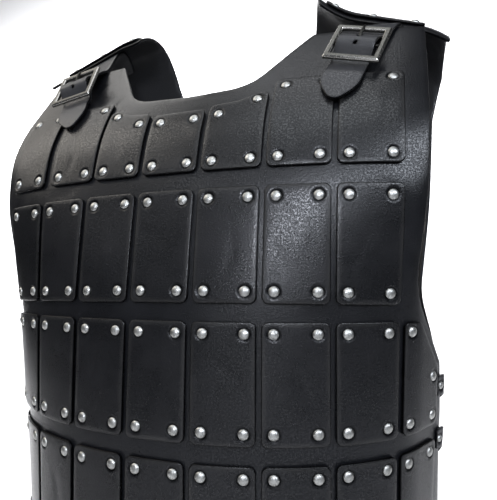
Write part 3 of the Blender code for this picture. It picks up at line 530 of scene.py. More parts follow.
def wear_group():
    """Dye and wear: uneven dye, a rubbed edge, a rough inside, and pebbles whose tops alone are
    glazed. It also paints shade: in the rings round the rivets and down the cut sides the colour is
    darkened and the shine taken away, the shade mask going into Metallic, which over a black dye
    gives back next to nothing."""
    masks = ("Edge", "Ring", "Flesh", "Tone", "Hollows", "Smooth", "Dull")
    tree, given = node_group(
        "leather_wear", "ShaderNodeTree",
        {"Cut": "Vector", **dict.fromkeys(masks, "Float"),
         **dict.fromkeys(("Dye", "Worn Dye", "Edge Dye"), "Color")},
        {"Color": "Color", "Roughness": "Float", "Dark": "Float", "Gloss": "Float"},
    )

    def noise(scale, detail, roughness=0.5):
        return node(tree, "ShaderNodeTexNoise", {
            "Vector": given["Cut"], "Scale": scale, "Detail": detail, "Roughness": roughness})["Fac"]

    def spread(value, low, high, to_low=0.0, to_high=1.0):
        return node(tree, "ShaderNodeMapRange", {
            "Value": value, "From Min": low, "From Max": high, "To Min": to_low,
            "To Max": to_high})["Result"]

    blotch = noise(22.0, 5.0, 0.62)
    patchy = spread(blotch, 0.42, 0.68)
    toned = math_node(tree, "MULTIPLY_ADD", patchy, 0.55, given["Tone"])
    speckle = spread(noise(420.0, 2.0), 0.5, 0.75)
    worn = math_node(tree, "MULTIPLY_ADD", speckle, 0.35, toned, use_clamp=True)
    dyed = node(tree, "ShaderNodeMix", {
        "Factor": worn, 6: given["Dye"], 7: given["Worn Dye"]}, data_type="RGBA")[2]
    rubbed = math_node(tree, "MULTIPLY", given["Edge"], blotch)
    edged = node(tree, "ShaderNodeMix", {
        "Factor": rubbed, 6: dyed, 7: given["Edge Dye"]}, data_type="RGBA")[2]
    # Painted shade: where Ring is set, the colour is multiplied towards a dark grey, for the shade
    # round the rivets and down the cut sides.
    deep = math_node(tree, "MULTIPLY", given["Ring"], 0.9)
    ringed = node(tree, "ShaderNodeMix", {
        "Factor": deep, 6: edged, 7: (0.35, 0.35, 0.37, 1.0)}, data_type="RGBA",
        blend_type="MULTIPLY")[2]
    # The same painted shade takes the shine away: it goes into Metallic and cuts the glaze.
    dark = math_node(tree, "MULTIPLY", given["Ring"], 0.8)
    shine = math_node(tree, "SUBTRACT", 1.0, dark)
    tops = spread(noise(620.0, 2.0), 0.5, 0.62)
    rough = node(tree, "ShaderNodeMix", {
        "Factor": patchy, 2: given["Smooth"], 3: given["Dull"]}, data_type="FLOAT")[0]
    rougher = math_node(tree, "MULTIPLY_ADD", given["Hollows"], 0.10, rough)
    fuzzy = math_node(tree, "MULTIPLY_ADD", given["Flesh"], 0.4, rougher, use_clamp=True)
    node(tree, "NodeGroupOutput", {
        "Color": ringed, "Roughness": fuzzy, "Dark": dark,
        "Gloss": math_node(tree, "MULTIPLY", tops, shine)})
    return tree


GRAIN = grain_group()
WEAR = wear_group()


def leather_material(name, dye, worn, edge, smooth, dull, pebbles, bump):
    """Black leather with a grain that is glazed on its tops, laid out on the flat cut."""
    material = bpy.data.materials.new(name)
    material.use_nodes = True
    tree = material.node_tree
    cut = node(tree, "ShaderNodeUVMap", uv_map="cut")["UV"]
    grain = node(tree, "ShaderNodeGroup", {
        "Cut": cut, "Pebbles": pebbles, "Pebble Height": 0.9, "Pores": pebbles * 2.6,
        "Pore Height": 0.55}, node_tree=GRAIN)
    marks = {label.capitalize(): node(tree, "ShaderNodeAttribute", attribute_name=label)["Fac"]
             for label in ("edge", "ring", "flesh", "tone")}
    wear = node(tree, "ShaderNodeGroup", {
        "Cut": cut, **marks, "Hollows": grain["Hollows"], "Dye": (*dye, 1.0),
        "Worn Dye": (*worn, 1.0), "Edge Dye": (*edge, 1.0), "Smooth": smooth, "Dull": dull,
    }, node_tree=WEAR)
    raised = node(tree, "ShaderNodeBump", {
        "Strength": bump, "Distance": 0.35 * MM, "Height": grain["Height"]})
    # Metallic carries the painted shade: over the black dye it gives back next to nothing, so the
    # rings round the rivets and the cut sides show no reflection.
    give(tree, tree.nodes["Principled BSDF"], {
        "Base Color": wear["Color"], "Roughness": wear["Roughness"], "Metallic": wear["Dark"],
        "Normal": raised["Normal"], "Specular IOR Level": 0.38,
        "Coat Weight": wear["Gloss"], "Coat Roughness": 0.23})
    return material


PANEL_LEATHER = leather_material(
    "panel_leather", dye=(0.0055, 0.0058, 0.007), worn=(0.012, 0.0125, 0.015),
    edge=(0.012, 0.0115, 0.011), smooth=0.25, dull=0.29, pebbles=680.0, bump=0.4,
)


def dressed(piece, finish, stands_for=None):
    """Gives the piece its finish, sets it on the body and hides the part it takes the place of."""
    piece.data.materials.append(finish)
    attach(piece, "root")
    if stands_for:
        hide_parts(stands_for)
    return piece


def flat_area(loop):
    loop = np.array(loop)
    ahead = np.roll(loop, -1, axis=0)
    return 0.5 * abs((loop[:, 0] * ahead[:, 1] - ahead[:, 0] * loop[:, 1]).sum())


def flat_size(loop):
    loop = np.array(loop)
    return tuple(float(side) for side in loop.max(axis=0) - loop.min(axis=0))


front_cut = both_halves(FRONT_OUTLINE)
front_panel = leather_wall(
    "leather_front", FRONT.place, front_cut, 0.0, WALL, 5.0 * MM,
    relief=lambda spots: creased(spots, FRONT_CREASES) + wavy(spots, 0.16, 0.5 * MM, 3),
    inner_spacing=7.0 * MM, tone=0.25,
)
dressed(front_panel, PANEL_LEATHER, "front_panel")
flat_size(front_cut)
flat_area(front_cut)


# The plates of the front: cut from the same hide, a little thinner, 57.5 by 103 mm, in rows
# of seven and nine. Their edges are rounded over and rubbed on top; down the cut sides they are dark,
# partly from the black edge dye and partly as painted shade, and a rivet is set in from each corner.

PITCH = 62.0 * MM
PLATE_WIDTH = 57.5 * MM
PLATE_HEIGHT = 103.3 * MM
ROW_PITCH = 119.0 * MM
PLATE_CORNER = 6.0 * MM
RIVET_FROM_SIDE = 10.35 * MM
RIVET_FROM_TOP = 10.3 * MM
RIVET_FROM_BOTTOM = 10.5 * MM
NECK_ROW_CUT = 1.3 * MM
HEM_MARGIN = 16.0 * MM
PLATE_MIDDLE = 51.0  # millimetres above a plate's lower edge
FRONT_HEM = 560.5 * MM
FRONT_TOPS = {
    # column: (inner corner, outer corner, bulge between them, rivet distance)
    0: (116, 116, 0, 11.5),
    1: (112.5, 97.5, 4.5, 12.5),
    2: (83.5, 83.5, 0, 10),
    3: (84.5, 84.5, 0, 9),
}
FRONT_SHIFTS = {
    # column: how much nearer the middle its inner and outer edges are cut, in millimetres
    -1: (0, 5.0),
    -2: (6.5, 6.5),
}
FRONT_SIDE_CUT = (
    ((220.5, 323.5), (241, 323.5), (275.5, 369), (275.5, 425.5), (220.5, 425.5)),
    ((229.5, 332.5), (266.5, 378), (229.5, 415), (266.5, 415)),
)
PLATE_LEATHER = leather_material(
    "plate_leather", dye=(0.006, 0.0063, 0.0075), worn=(0.014, 0.014, 0.016),
    edge=(0.05, 0.048, 0.045), smooth=0.24, dull=0.28, pebbles=640.0, bump=0.4,
)
# Creases and dents worn into single plates: row, column, then as for the front panel, from the
# plate's middle
PLATE_CREASES = (
    (1, 2, -8, 10, 48, 4.0, 72, 0.5),
    (1, 3, 6, -4, 40, 3.5, 96, -0.4),
    (1, -1, -4, 8, 44, 5.0, 60, 0.5),
    (1, 0, 5, 2, 36, 4.5, 20, 0.4),
    (1, -2, 4, 12, 52, 4.0, 84, 0.5),
    (2, 2, 4, -16, 54, 5.0, 78, -0.3),
    (2, 2, -12, 12, 36, 4.0, 66, 0.25),
    (2, 1, 6, 10, 44, 4.5, 100, 0.25),
    (2, 0, -8, -10, 40, 5.5, 30, 0.4),
    (2, -1, 2, 14, 50, 4.0, 88, -0.4),
    (2, 3, -6, 0, 46, 4.5, 108, 0.25),
    (3, 1, 4, -12, 38, 5.0, 40, 0.5),
    (3, 0, -6, 8, 56, 4.5, 94, 0.4),
    (3, 2, 8, 4, 40, 4.0, 70, 0.5),
    (3, -1, -5, -8, 46, 4.0, 110, 0.5),
    (4, 0, 4, -6, 44, 4.5, 64, 0.5),
    (4, 2, -4, 10, 38, 4.0, 98, -0.4),
    (4, -2, 6, 0, 48, 4.5, 82, 0.5),
)


def plain_plate(column, top, bottom):
    middle, half = column * PITCH, 0.5 * PLATE_WIDTH
    corners = [(middle - half, top), (middle + half, top),
               (middle + half, bottom), (middle - half, bottom)]
    rivets = [
        (middle + side * (half - RIVET_FROM_SIDE), y)
        for side in (-1.0, 1.0) for y in (top + RIVET_FROM_TOP, bottom - RIVET_FROM_BOTTOM)
    ]
    return cornered(corners, PLATE_CORNER), rivets


def neck_plate(column, bottom):
    inner, outer, bulge, rivet_down = (value * MM for value in FRONT_TOPS[abs(column)])
    inner_shift, outer_shift = (value * MM for value in FRONT_SHIFTS.get(column, (0, 0)))
    side = -1.0 if column < 0 else 1.0
    near = side * (abs(column) * PITCH - 0.5 * PLATE_WIDTH - inner_shift)
    far = side * (abs(column) * PITCH + 0.5 * PLATE_WIDTH - outer_shift)
    top = [(near, inner), (0.5 * (near + far), 0.5 * (inner + outer) + bulge), (far, outer)]
    if bulge == 0.0:
        top.pop(1)
    corners = top + [(far, bottom - NECK_ROW_CUT), (near, bottom - NECK_ROW_CUT)]
    rivets = []
    for edge, edge_top, towards in ((near, inner, side), (far, outer, -side)):
        x = edge + towards * RIVET_FROM_SIDE
        rivets += [(x, edge_top + rivet_down), (x, bottom - RIVET_FROM_BOTTOM)]
    return cornered(corners, PLATE_CORNER), rivets


def cut_plate(side, corners, rivets):
    outline = cornered([(side * x * MM, y * MM) for x, y in corners], PLATE_CORNER)
    return outline, [(side * x * MM, y * MM) for x, y in rivets]


rivet_spots = []
tones = np.random.default_rng(11)


def riveted_plate(name, form, outline, rivets, creases, seed, stands_for=None):
    """One plate over a panel, with its rivets noted for the section on rivets."""
    plate = leather_wall(
        name, form.place, outline, WALL + SEAT, PLATE, 3.4 * MM,
        relief=lambda spots: creased(spots, creases) + wavy(spots, 0.08, 0.2 * MM, seed),
        rivets=rivets, rounding=1.2 * MM, inner_spacing=8.0 * MM,
        tone=float(tones.uniform(-0.1, 0.3)),
    )
    across, down = np.array(rivets).T
    out = np.full(len(across), WALL + SEAT + PLATE - RIVET_SINK)
    rivet_spots.extend(zip(form.place(across, down, out), form.normal(across, down)))
    dressed(plate, PLATE_LEATHER, stands_for)
    flat_size(outline)
    flat_area(outline)


def plate_creases(row, column, bottom):
    """The creases of one plate, moved from the plate's middle to its place on the form."""
    return [
        (column * PITCH / MM + across, bottom / MM - PLATE_MIDDLE + down, *shape)
        for on_row, on_column, across, down, *shape in PLATE_CREASES
        if (on_row, on_column) == (row, column)
    ]


for row in (1, 2, 3, 4):
    bottom = FRONT_HEM - HEM_MARGIN - (4 - row) * ROW_PITCH
    reach = 3 if row < 3 else 4
    for column in range(-reach, reach + 1):
        if row == 1:
            cut, rivets = neck_plate(column, bottom)
        elif row == 3 and abs(column) == 4:
            cut, rivets = cut_plate(column / 4, *FRONT_SIDE_CUT)
        else:
            cut, rivets = plain_plate(column, bottom - PLATE_HEIGHT, bottom)
        riveted_plate(
            f"leather_plate_{row}_{column + 5}", FRONT, cut, rivets,
            plate_creases(row, column, bottom), 100 * row + column,
            stands_for=f"front_plate_{row}_{column + 5}",
        )


# The back panel: the same leather as the front, with two flaps that reach over the shoulders.
# Its plates repeat those of the front and are riveted on in the same way; only those of the
# middle column are creased.

NECK_FLAT = 118.0 * MM
NECK_RISE = 11.0 * MM
NECK_RISE_FROM = 165.0 * MM
NECK_RISE_RUN = 39.0 * MM
NECK_RISE_MOST = 1.2
NECK_RISE_EASED = 100.0 * MM
RIGHT_RISE = 13.5 * MM
RIGHT_RISE_RUN = 145.0 * MM
LEFT_SAG = 7.0 * MM
LEFT_SAG_FROM = 226.0 * MM
LEFT_SAG_RUN = 30.0 * MM
SHOULDER_FALL = 0.36
BACK_STRAIGHT = 400.0 * MM
FLAP_EDGE = -41.5
BACK_HEM = 589.0 * MM
BACK_SECTIONS = (
    # height, half_breadth, depth, centre, slope
    (-18, 262, 4, -31, 1.0),
    (-7, 262, 4, -19, 1.0),
    (-1, 262, 4, -6, 1.0),
    (0, 262, 5, 5, 1.0),
    (-4, 262, 7, 16, 1.0),
    (-14, 262, 11, 25, 0.95),
    (-32, 261, 18, 30, 0.85),
    (-60, 260, 28, 31, 0.65),
    (-97, 255, 38, 29, 0.4),
    (-150, 249, 52, 20, 0.15),
    (-190, 247, 64, 10, 0.05),
    (-225, 242, 74, 0, 0),
    (-307, 234, 113, -45, 0),
    (-344, 232, 132, -69, 0),
    (-428, 231, 110, -49, 0),
    (-464, 229, 99, -41, 0),
    (-573, 225, 86, -27, 0),
)
BACK_OUTLINE = (
    # across, down, radius
    (0, 99, 0),
    (92, 96, 45),
    (121, FLAP_EDGE, 4),
    (259, FLAP_EDGE, 6),
    (255, 55, 40),
    (245, 120, 60),
    (244, 260, 60),
    (243, 335, 50),
    (283, 395, 6),
    (266, 480, 0),
    (253, 589, 7),
    (0, 589, 0),
)
BACK_TOPS = {0: 114.4, 1: 114.4, 2: 98.0, 3: 98.0}
BACK_SIDE_CUTS = {
    3: (
        ((220.5, 352), (236, 352), (265, 394), (257.5, 454), (220.5, 454)),
        ((228.5, 361), (255, 398), (229.5, 443.5), (249, 443.5)),
    ),
    4: (
        ((220.5, 471), (253, 471), (240.5, 573), (220.5, 573)),
        ((229.5, 480), (243.5, 480), (230.5, 562.5)),
    ),
}
BACK_CREASES = (
    # across, down, length, width, turn, depth
    (190, 20, 60, 7.0, 6, 0.7),
    (-176, 28, 52, 6.5, 174, 0.6),
    (140, 84, 44, 6.0, 40, 0.7),
    (-138, 88, 50, 6.0, 138, 0.8),
    (232, 160, 46, 5.0, 70, 0.8),
    (-234, 150, 40, 5.0, 108, -0.6),
    (222, 300, 44, 5.5, 40, 0.8),
    (-226, 292, 48, 5.5, 140, 0.7),
    (30, 104, 50, 5.0, 2, 0.5),
    (-60, 226, 56, 5.5, 178, 0.5),
    (96, 344, 60, 5.5, 3, -0.5),
    (-110, 463, 54, 5.0, 176, 0.5),
)


def back_lift(x, across, slope):
    reach = np.abs(x)
    spread = np.where(reach > NECK_FLAT, reach, reach ** 2 / (2 * NECK_FLAT) + 0.5 * NECK_FLAT)
    neck = np.clip((NECK_RISE_FROM - spread) / NECK_RISE_RUN, 0.0, NECK_RISE_MOST)
    neck *= np.minimum(reach / NECK_RISE_EASED, 1.0)
    sag = np.maximum(spread - LEFT_SAG_FROM, 0.0) / LEFT_SAG_RUN
    right = RIGHT_RISE * np.minimum(reach / RIGHT_RISE_RUN, 1.0) ** 2
    rise = np.where(x < 0.0, right, NECK_RISE * neck ** 2 - LEFT_SAG * sag ** 2)
    return rise * slope ** 2 - SHOULDER_FALL * slope * (spread - GUIDE)


BACK = Form(BACK_SECTIONS, 1, 3, back_lift, 0.0, BACK_STRAIGHT)
back_cut = both_halves(BACK_OUTLINE)
back_panel = leather_wall(
    "leather_back", BACK.place, back_cut, 0.0, WALL, 5.0 * MM,
    relief=lambda spots: creased(spots, BACK_CREASES) + wavy(spots, 0.16, 0.5 * MM, 5),
    inner_spacing=6.0 * MM, tone=0.25,
)
dressed(back_panel, PANEL_LEATHER, "back_panel")
flat_size(back_cut)
flat_area(back_cut)

for row in (1, 2, 3, 4):
    bottom = BACK_HEM - HEM_MARGIN - (4 - row) * ROW_PITCH
    reach = 3 if row < 3 else 4
    for column in range(-reach, reach + 1):
        if row == 1:
            cut, rivets = plain_plate(column, BACK_TOPS[abs(column)] * MM, bottom)
        elif abs(column) == 4:
            cut, rivets = cut_plate(column / 4, *BACK_SIDE_CUTS[row])
        else:
            cut, rivets = plain_plate(column, bottom - PLATE_HEIGHT, bottom)
        riveted_plate(
            f"leather_back_plate_{row}_{column + 5}", BACK, cut, rivets,
            plate_creases(row, 0, bottom) if column == 0 else (), 1000 + 100 * row + column,
        )


# The plate over each shoulder: one wide plate with three rivets on its front edge and three
# behind, over the flap of the back.

SHOULDER_PLATE = (126.0, 234.0, -33.0, 80.0)
SHOULDER_RIVETS_ACROSS = (136.0 * MM, 180.0 * MM, 224.0 * MM)
SHOULDER_RIVETS_DOWN = (-23.5 * MM, 70.0 * MM)
left, right, front_edge, back_edge = SHOULDER_PLATE
for label, side in (("right", -1.0), ("left", 1.0)):
    corners = ((left, front_edge), (right, front_edge), (right, back_edge), (left, back_edge))
    cut, _ = cut_plate(side, corners, ())
    rivets = [(side * x, y) for x in SHOULDER_RIVETS_ACROSS for y in SHOULDER_RIVETS_DOWN]
    creases = ((side * 172, 8, 60, 6.0, 90 - side * 78, 0.6), (side * 204, 40, 44, 5.0, 100, 0.5))
    riveted_plate(f"leather_shoulder_plate_{label}", BACK, cut, rivets, creases, 77,
                  stands_for=f"shoulder_plate_{label}")


# The rivets: domed nickel caps hammered home, so that the leather sinks in round each. One tree
# sets a cap on every spot, each a touch out of true; the part below the leather is left off.

def nickel_material(name, base, dark, smooth, dull, speck_scale, bump):
    """Worn nickel: darker and rougher in small blotches, as plated parts go."""
    material = bpy.data.materials.new(name)
    material.use_nodes = True
    tree = material.node_tree
    blotch = node(tree, "ShaderNodeTexNoise", {
        "Vector": node(tree, "ShaderNodeTexCoord")["Object"], "Scale": speck_scale,
        "Detail": 4.0})["Fac"]
    patchy = node(tree, "ShaderNodeMapRange", {
        "Value": blotch, "From Min": 0.4, "From Max": 0.7})["Result"]
    tint = node(tree, "ShaderNodeMix", {
        "Factor": patchy, 6: (*base, 1.0), 7: (*dark, 1.0)}, data_type="RGBA")
    rough = node(tree, "ShaderNodeMapRange", {"Value": patchy, "To Min": smooth, "To Max": dull})
    raised = node(tree, "ShaderNodeBump", {
        "Strength": bump, "Distance": 0.1 * MM, "Height": blotch})
    give(tree, tree.nodes["Principled BSDF"], {
        "Base Color": tint[2], "Metallic": 1.0, "Roughness": rough["Result"],
        "Normal": raised["Normal"]})
    return material


RIVET_NICKEL = nickel_material(
    "rivet_nickel", base=(0.70, 0.70, 0.67), dark=(0.42, 0.42, 0.40), smooth=0.36, dull=0.5,
    speck_scale=260.0, bump=0.35,
)


def rivet_tree():
    """Sets a cap on every point, along the point's own 'stands' direction."""
    tree, given = node_group(
        "rivets_on_spots", "GeometryNodeTree",
        {"Spots": "Geometry", "Cap Radius": "Float", "Cap Height": "Float", "Tilt": "Float",
         "Finish": "Material"},
        {"Caps": "Geometry"},
    )
    dome = node(tree, "GeometryNodeMeshUVSphere", {
        "Segments": 12, "Rings": 8, "Radius": given["Cap Radius"]})
    heights = node(tree, "ShaderNodeSeparateXYZ", {
        0: node(tree, "GeometryNodeInputPosition")[0]})
    sunk = node(tree, "FunctionNodeCompare", {"A": heights["Z"], "B": -2.0 * MM},
                data_type="FLOAT", operation="LESS_THAN")
    upper = node(tree, "GeometryNodeDeleteGeometry", {
        "Geometry": dome["Mesh"], "Selection": sunk[0]}, domain="POINT")
    flattened = math_node(tree, "DIVIDE", given["Cap Height"], given["Cap Radius"])
    squeeze = node(tree, "ShaderNodeCombineXYZ", {"X": 1.0, "Y": 1.0, "Z": flattened})
    pressed = node(tree, "GeometryNodeTransform", {"Geometry": upper[0], "Scale": squeeze[0]})
    smooth = node(tree, "GeometryNodeSetShadeSmooth", {"Geometry": pressed[0]})
    stands = node(tree, "GeometryNodeInputNamedAttribute", {"Name": "stands"},
                  data_type="FLOAT_VECTOR")
    upright = node(tree, "FunctionNodeAlignRotationToVector", {
        "Vector": stands["Attribute"]}, axis="Z")
    least, most = (
        node(tree, "ShaderNodeVectorMath", {0: (sign, sign, sign), "Scale": given["Tilt"]},
             operation="SCALE")[0]
        for sign in (-1.0, 1.0)
    )
    lean = node(tree, "FunctionNodeRandomValue", {0: least, 1: most, "Seed": 4},
                data_type="FLOAT_VECTOR")
    turn = node(tree, "FunctionNodeEulerToRotation", {0: lean[0]})
    turned = node(tree, "FunctionNodeRotateRotation", {
        "Rotation": upright[0], "Rotate By": turn[0]}, rotation_space="LOCAL")
    set_on = node(tree, "GeometryNodeInstanceOnPoints", {
        "Points": given["Spots"], "Instance": smooth[0], "Rotation": turned[0]})
    real = node(tree, "GeometryNodeRealizeInstances", {0: set_on[0]})
    finish = node(tree, "GeometryNodeSetMaterial", {
        "Geometry": real[0], "Material": given["Finish"]})
    node(tree, "NodeGroupOutput", {"Caps": finish[0]})
    return tree


def set_inputs(modifier, tree, **values):
    """Gives the modifier's inputs their values by the sockets' identifiers."""
    for item in tree.interface.items_tree:
        key = item.name.lower().replace(" ", "_")
        if item.in_out == "INPUT" and key in values:
            modifier[item.identifier] = values[key]


def grown(name, points, attributes, tree, **values):
    """A plain mesh made by the tree on loose points."""
    cloud = bpy.data.meshes.new(name + "_spots")
    cloud.from_pydata([tuple(point) for point in points], [], [])
    for label, vectors in attributes.items():
        layer = cloud.attributes.new(label, "FLOAT_VECTOR", "POINT")
        layer.data.foreach_set("vector", np.array(vectors, np.float32).ravel())
    source = bpy.data.objects.new(name + "_spots", cloud)
    bpy.context.collection.objects.link(source)
    modifier = source.modifiers.new("growth", "NODES")
    modifier.node_group = tree
    set_inputs(modifier, tree, **values)
    evaluated = source.evaluated_get(bpy.context.evaluated_depsgraph_get())
    mesh = bpy.data.meshes.new_from_object(evaluated)
    mesh.name = name
    source.modifiers.remove(modifier)
    bpy.data.objects.remove(source, do_unlink=True)
    bpy.data.meshes.remove(cloud)
    thing = bpy.data.objects.new(name, mesh)
    bpy.context.collection.objects.link(thing)
    return thing


RIVETS = rivet_tree()


def set_rivets(name, spots, cap_radius=4.9 * MM, cap_height=2.4 * MM):
    caps = grown(
        name, [spot for spot, _ in spots], {"stands": [stands for _, stands in spots]}, RIVETS,
        cap_radius=cap_radius, cap_height=cap_height, tilt=0.07, finish=RIVET_NICKEL,
    )
    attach(caps, "root")
    return caps


rivets_on_plates = set_rivets("rivets_on_plates", rivet_spots)


# The shoulder straps: 38 mm harness leather, held under the flap of the back. Each runs through
# the buckle and down to a rounded point, with a slot for the prong and one spare hole.

STRAP = 2.8 * MM
STRAP_WIDTH = 38.0 * MM
STRAP_TIP_RADII = (30.0 * MM, 9.0 * MM)
SPARE_HOLE = 2.0 * MM
SPARE_RIM = 0.35 * MM
SPARE_RIM_AT, SPARE_RIM_SPREAD = 3.4 * MM, 1.1 * MM
PRONG_SLOT = 4.8 * MM
PRONG_SLOT_CORNER = 2.0 * MM
PRONG_SLOT_PAST = 1.2 * MM
STRAP_TIP_LENGTH = 24.0 * MM
FLAP_REACH = 92.0 * MM
TAB_EDGE = -10.8 * MM
SHOULDER_CLOSURES = (
    # side, sign, across and down of the buckle, lean in degrees, the loose end's swing
    ("right", -1, 155.5 * MM, 49.0 * MM, 10.0, -9.5),
    ("left", 1, 170.0 * MM, 54.0 * MM, 18.5, 5.0),
)
SWING_FROM = 6
SWING_RUN = 24
COVERED = (24, 12, 1, -10, -21, -32, FLAP_EDGE)
STRAP_RISE = (
    # along, rise
    (-44, 5.0),
    (-34, 8.2),
    (-24, 11.4),
    (-18.5, 13.0),
    (-13, 15.6),
    (-8, 18.0),
    (-4, 19.3),
    (0, 19.6),
    (4, 19.2),
    (8, 16.2),
    (12, 11.2),
    (16, 6.6),
    (20, 5.1),
    (28, 5.0),
    (38, 6.4),
    (50, 6.4),
    (78, 6.4),
)
# The dye is far paler than the panels': painted light, for the light the upward-facing straps catch,
# over leather as black as the rest. Chapes and side straps share it.
STRAP_LEATHER_PAINTED_LIGHT = leather_material(
    "strap_leather", dye=(0.03, 0.0305, 0.033), worn=(0.052, 0.052, 0.056),
    edge=(0.006, 0.006, 0.0065), smooth=0.34, dull=0.4, pebbles=800.0, bump=0.5,
)


def oblong(width, first, last):
    """The corners of a straight piece or slot that runs down the middle of a strap."""
    half = 0.5 * width
    return [(-half, first), (half, first), (half, last), (-half, last)]


class Route:
    """A strap's smooth course through its stations. Each station is the places of three points
    across the strap and its outward direction."""

    def __init__(self, stations, half_width):
        self.half = half_width
        places = np.array([[station[k] for k in range(3)] for station in stations])
        steps = np.linalg.norm(np.diff(places[:, 1], axis=0), axis=1)
        self.runs = np.concatenate([[0.0], np.cumsum(steps)])
        self.values = np.concatenate(
            [places.reshape(len(stations), 9), np.array([station[3] for station in stations])], 1
        )
        self.slopes = np.gradient(self.values, self.runs, axis=0)

    def place(self, across, run, out):
        across, run, out = (np.asarray(value, float) for value in (across, run, out))
        index = np.clip(np.searchsorted(self.runs, run, side="right") - 1, 0, len(self.runs) - 2)
        length = (self.runs[index + 1] - self.runs[index])[:, None]
        share = np.clip((run - self.runs[index])[:, None] / length, 0.0, 1.0)
        values = eased(share, self.values[index], self.slopes[index] * length,
                       self.values[index + 1], self.slopes[index + 1] * length)
        first, middle, last, normal = (values[:, 3 * k:3 * k + 3] for k in range(4))
        t = (across / self.half)[:, None]
        spot = middle * (1 - t * t) + first * (0.5 * t * (t - 1)) + last * (0.5 * t * (t + 1))
        return spot + normal * (out / np.linalg.norm(normal, axis=1))[:, None]


def station_on(form, side, spots, lift):
    """A station on a form: three (across, down) spots across the strap, and how far out."""
    across, down = np.array([(side * x, y) for x, y in spots]).T
    places = form.place(across, down, np.full(3, lift))
    return (*places, form.normal(across[1:2], down[1:2])[0])


def swung_lean(along, lean, swing):
    return lean - swing * min(max((along - SWING_FROM) / SWING_RUN, 0.0), 1.0)


def strap_stations(side, across, down, lean, swing):
    half = 0.5 * STRAP_WIDTH
    stations = []
    for back_down in COVERED:
        reach = FLAP_REACH + (back_down - FLAP_EDGE) * MM / math.cos(lean)
        s = across + reach * math.sin(lean)
        spots = [(s + u / math.cos(lean), back_down * MM) for u in (-half, 0.0, half)]
        stations.append(station_on(BACK, side, spots, -SEAT - STRAP))
    s = across + (down - TAB_EDGE) * math.tan(lean)
    spots = [(s + u / math.cos(lean), TAB_EDGE) for u in (-half, 0.0, half)]
    stations.append(station_on(FRONT, side, spots, WALL + SEAT))
    before = STRAP_RISE[0][0]
    s = across - before * MM * math.sin(lean)
    t = down + before * MM * math.cos(lean)
    for along, rise in STRAP_RISE:
        course = swung_lean(0.5 * (before + along), lean, swing)
        s -= (along - before) * MM * math.sin(course)
        t += (along - before) * MM * math.cos(course)
        before = along
        turned = swung_lean(along, lean, swing)
        spots = [(s + u * math.cos(turned), t + u * math.sin(turned)) for u in (-half, 0.0, half)]
        stations.append(station_on(FRONT, side, spots, WALL + rise * MM))
    return stations


def run_of(route, along):
    index = [row[0] for row in STRAP_RISE].index(along)
    return route.runs[len(COVERED) + 1 + index]


for label, side, across, down, lean, swing in SHOULDER_CLOSURES:
    stations = strap_stations(side, across, down, math.radians(lean), math.radians(swing))
    route = Route(stations, 0.5 * STRAP_WIDTH)
    half, end = 0.5 * STRAP_WIDTH, route.runs[-1]
    side_radius, tip_radius = STRAP_TIP_RADII
    cut = rounded([
        (-half, 0.0, 0.0), (half, 0.0, 0.0), (half, end - STRAP_TIP_LENGTH, side_radius),
        (0.0, end, tip_radius), (-half, end - STRAP_TIP_LENGTH, side_radius),
    ])
    spare_at = 0.5 * (run_of(route, 4) + run_of(route, 8))
    turns = 2.0 * np.pi * np.arange(12) / 12
    spare = np.stack([SPARE_HOLE * np.cos(turns), spare_at + SPARE_HOLE * np.sin(turns)], 1)
    first, last = run_of(route, -13), run_of(route, -4) + PRONG_SLOT_PAST
    slot_hole = cornered(oblong(PRONG_SLOT, first, last), PRONG_SLOT_CORNER)

    def strap_relief(spots, spare_at=spare_at):
        near = np.hypot(spots[:, 0], spots[:, 1] - spare_at)
        rim = SPARE_RIM * np.exp(-(((near - SPARE_RIM_AT) / SPARE_RIM_SPREAD) ** 2))
        return rim + wavy(spots, 0.06, 0.2 * MM, 21)

    strap = leather_wall(
        f"leather_shoulder_strap_{label}", route.place, cut, 0.0, STRAP, 2.2 * MM,
        relief=strap_relief, holes=[spare, slot_hole], rounding=0.9 * MM, tone=0.2,
    )
    dressed(strap, STRAP_LEATHER_PAINTED_LIGHT, f"shoulder_strap_{label}")
    flat_area(cut)


# The chapes: a short strap folded round each buckle's middle bar, slotted for the prong, with its
# two ends lying on the front under the shoulder strap.

BUCKLE_LIFT = 15.0 * MM
BAR_RADIUS = 1.8 * MM
CHAPE = 1.7 * MM
CHAPE_WIDTH = 34.0 * MM
CHAPE_REACH = 22.5 * MM
CHAPE_PINCH = 13.0 * MM
CHAPE_FOLD = (233.0, 39.0)  # where round the bar the fold begins and ends, in degrees
CHAPE_SLOT = (5.2 * MM, 5.0 * MM)


def buckle_axes(side, across, down, lean):
    """Where a buckle sits on the front, with its directions across, along and outward."""
    step = 2.0 * MM
    spots = ((0.0, 0.0), (step * math.cos(lean), step * math.sin(lean)),
             (-step * math.sin(lean), step * math.cos(lean)))
    xs = np.array([side * (across + x) for x, _ in spots])
    ys = np.array([down + y for _, y in spots])
    centre, beside, below = (Vector(p) for p in FRONT.place(xs, ys, np.full(3, WALL)))
    u = (beside - centre).normalized()
    v = (below - centre).normalized()
    n = -side * u.cross(v).normalized()
    v = -side * n.cross(u).normalized()
    return centre, u, v, n


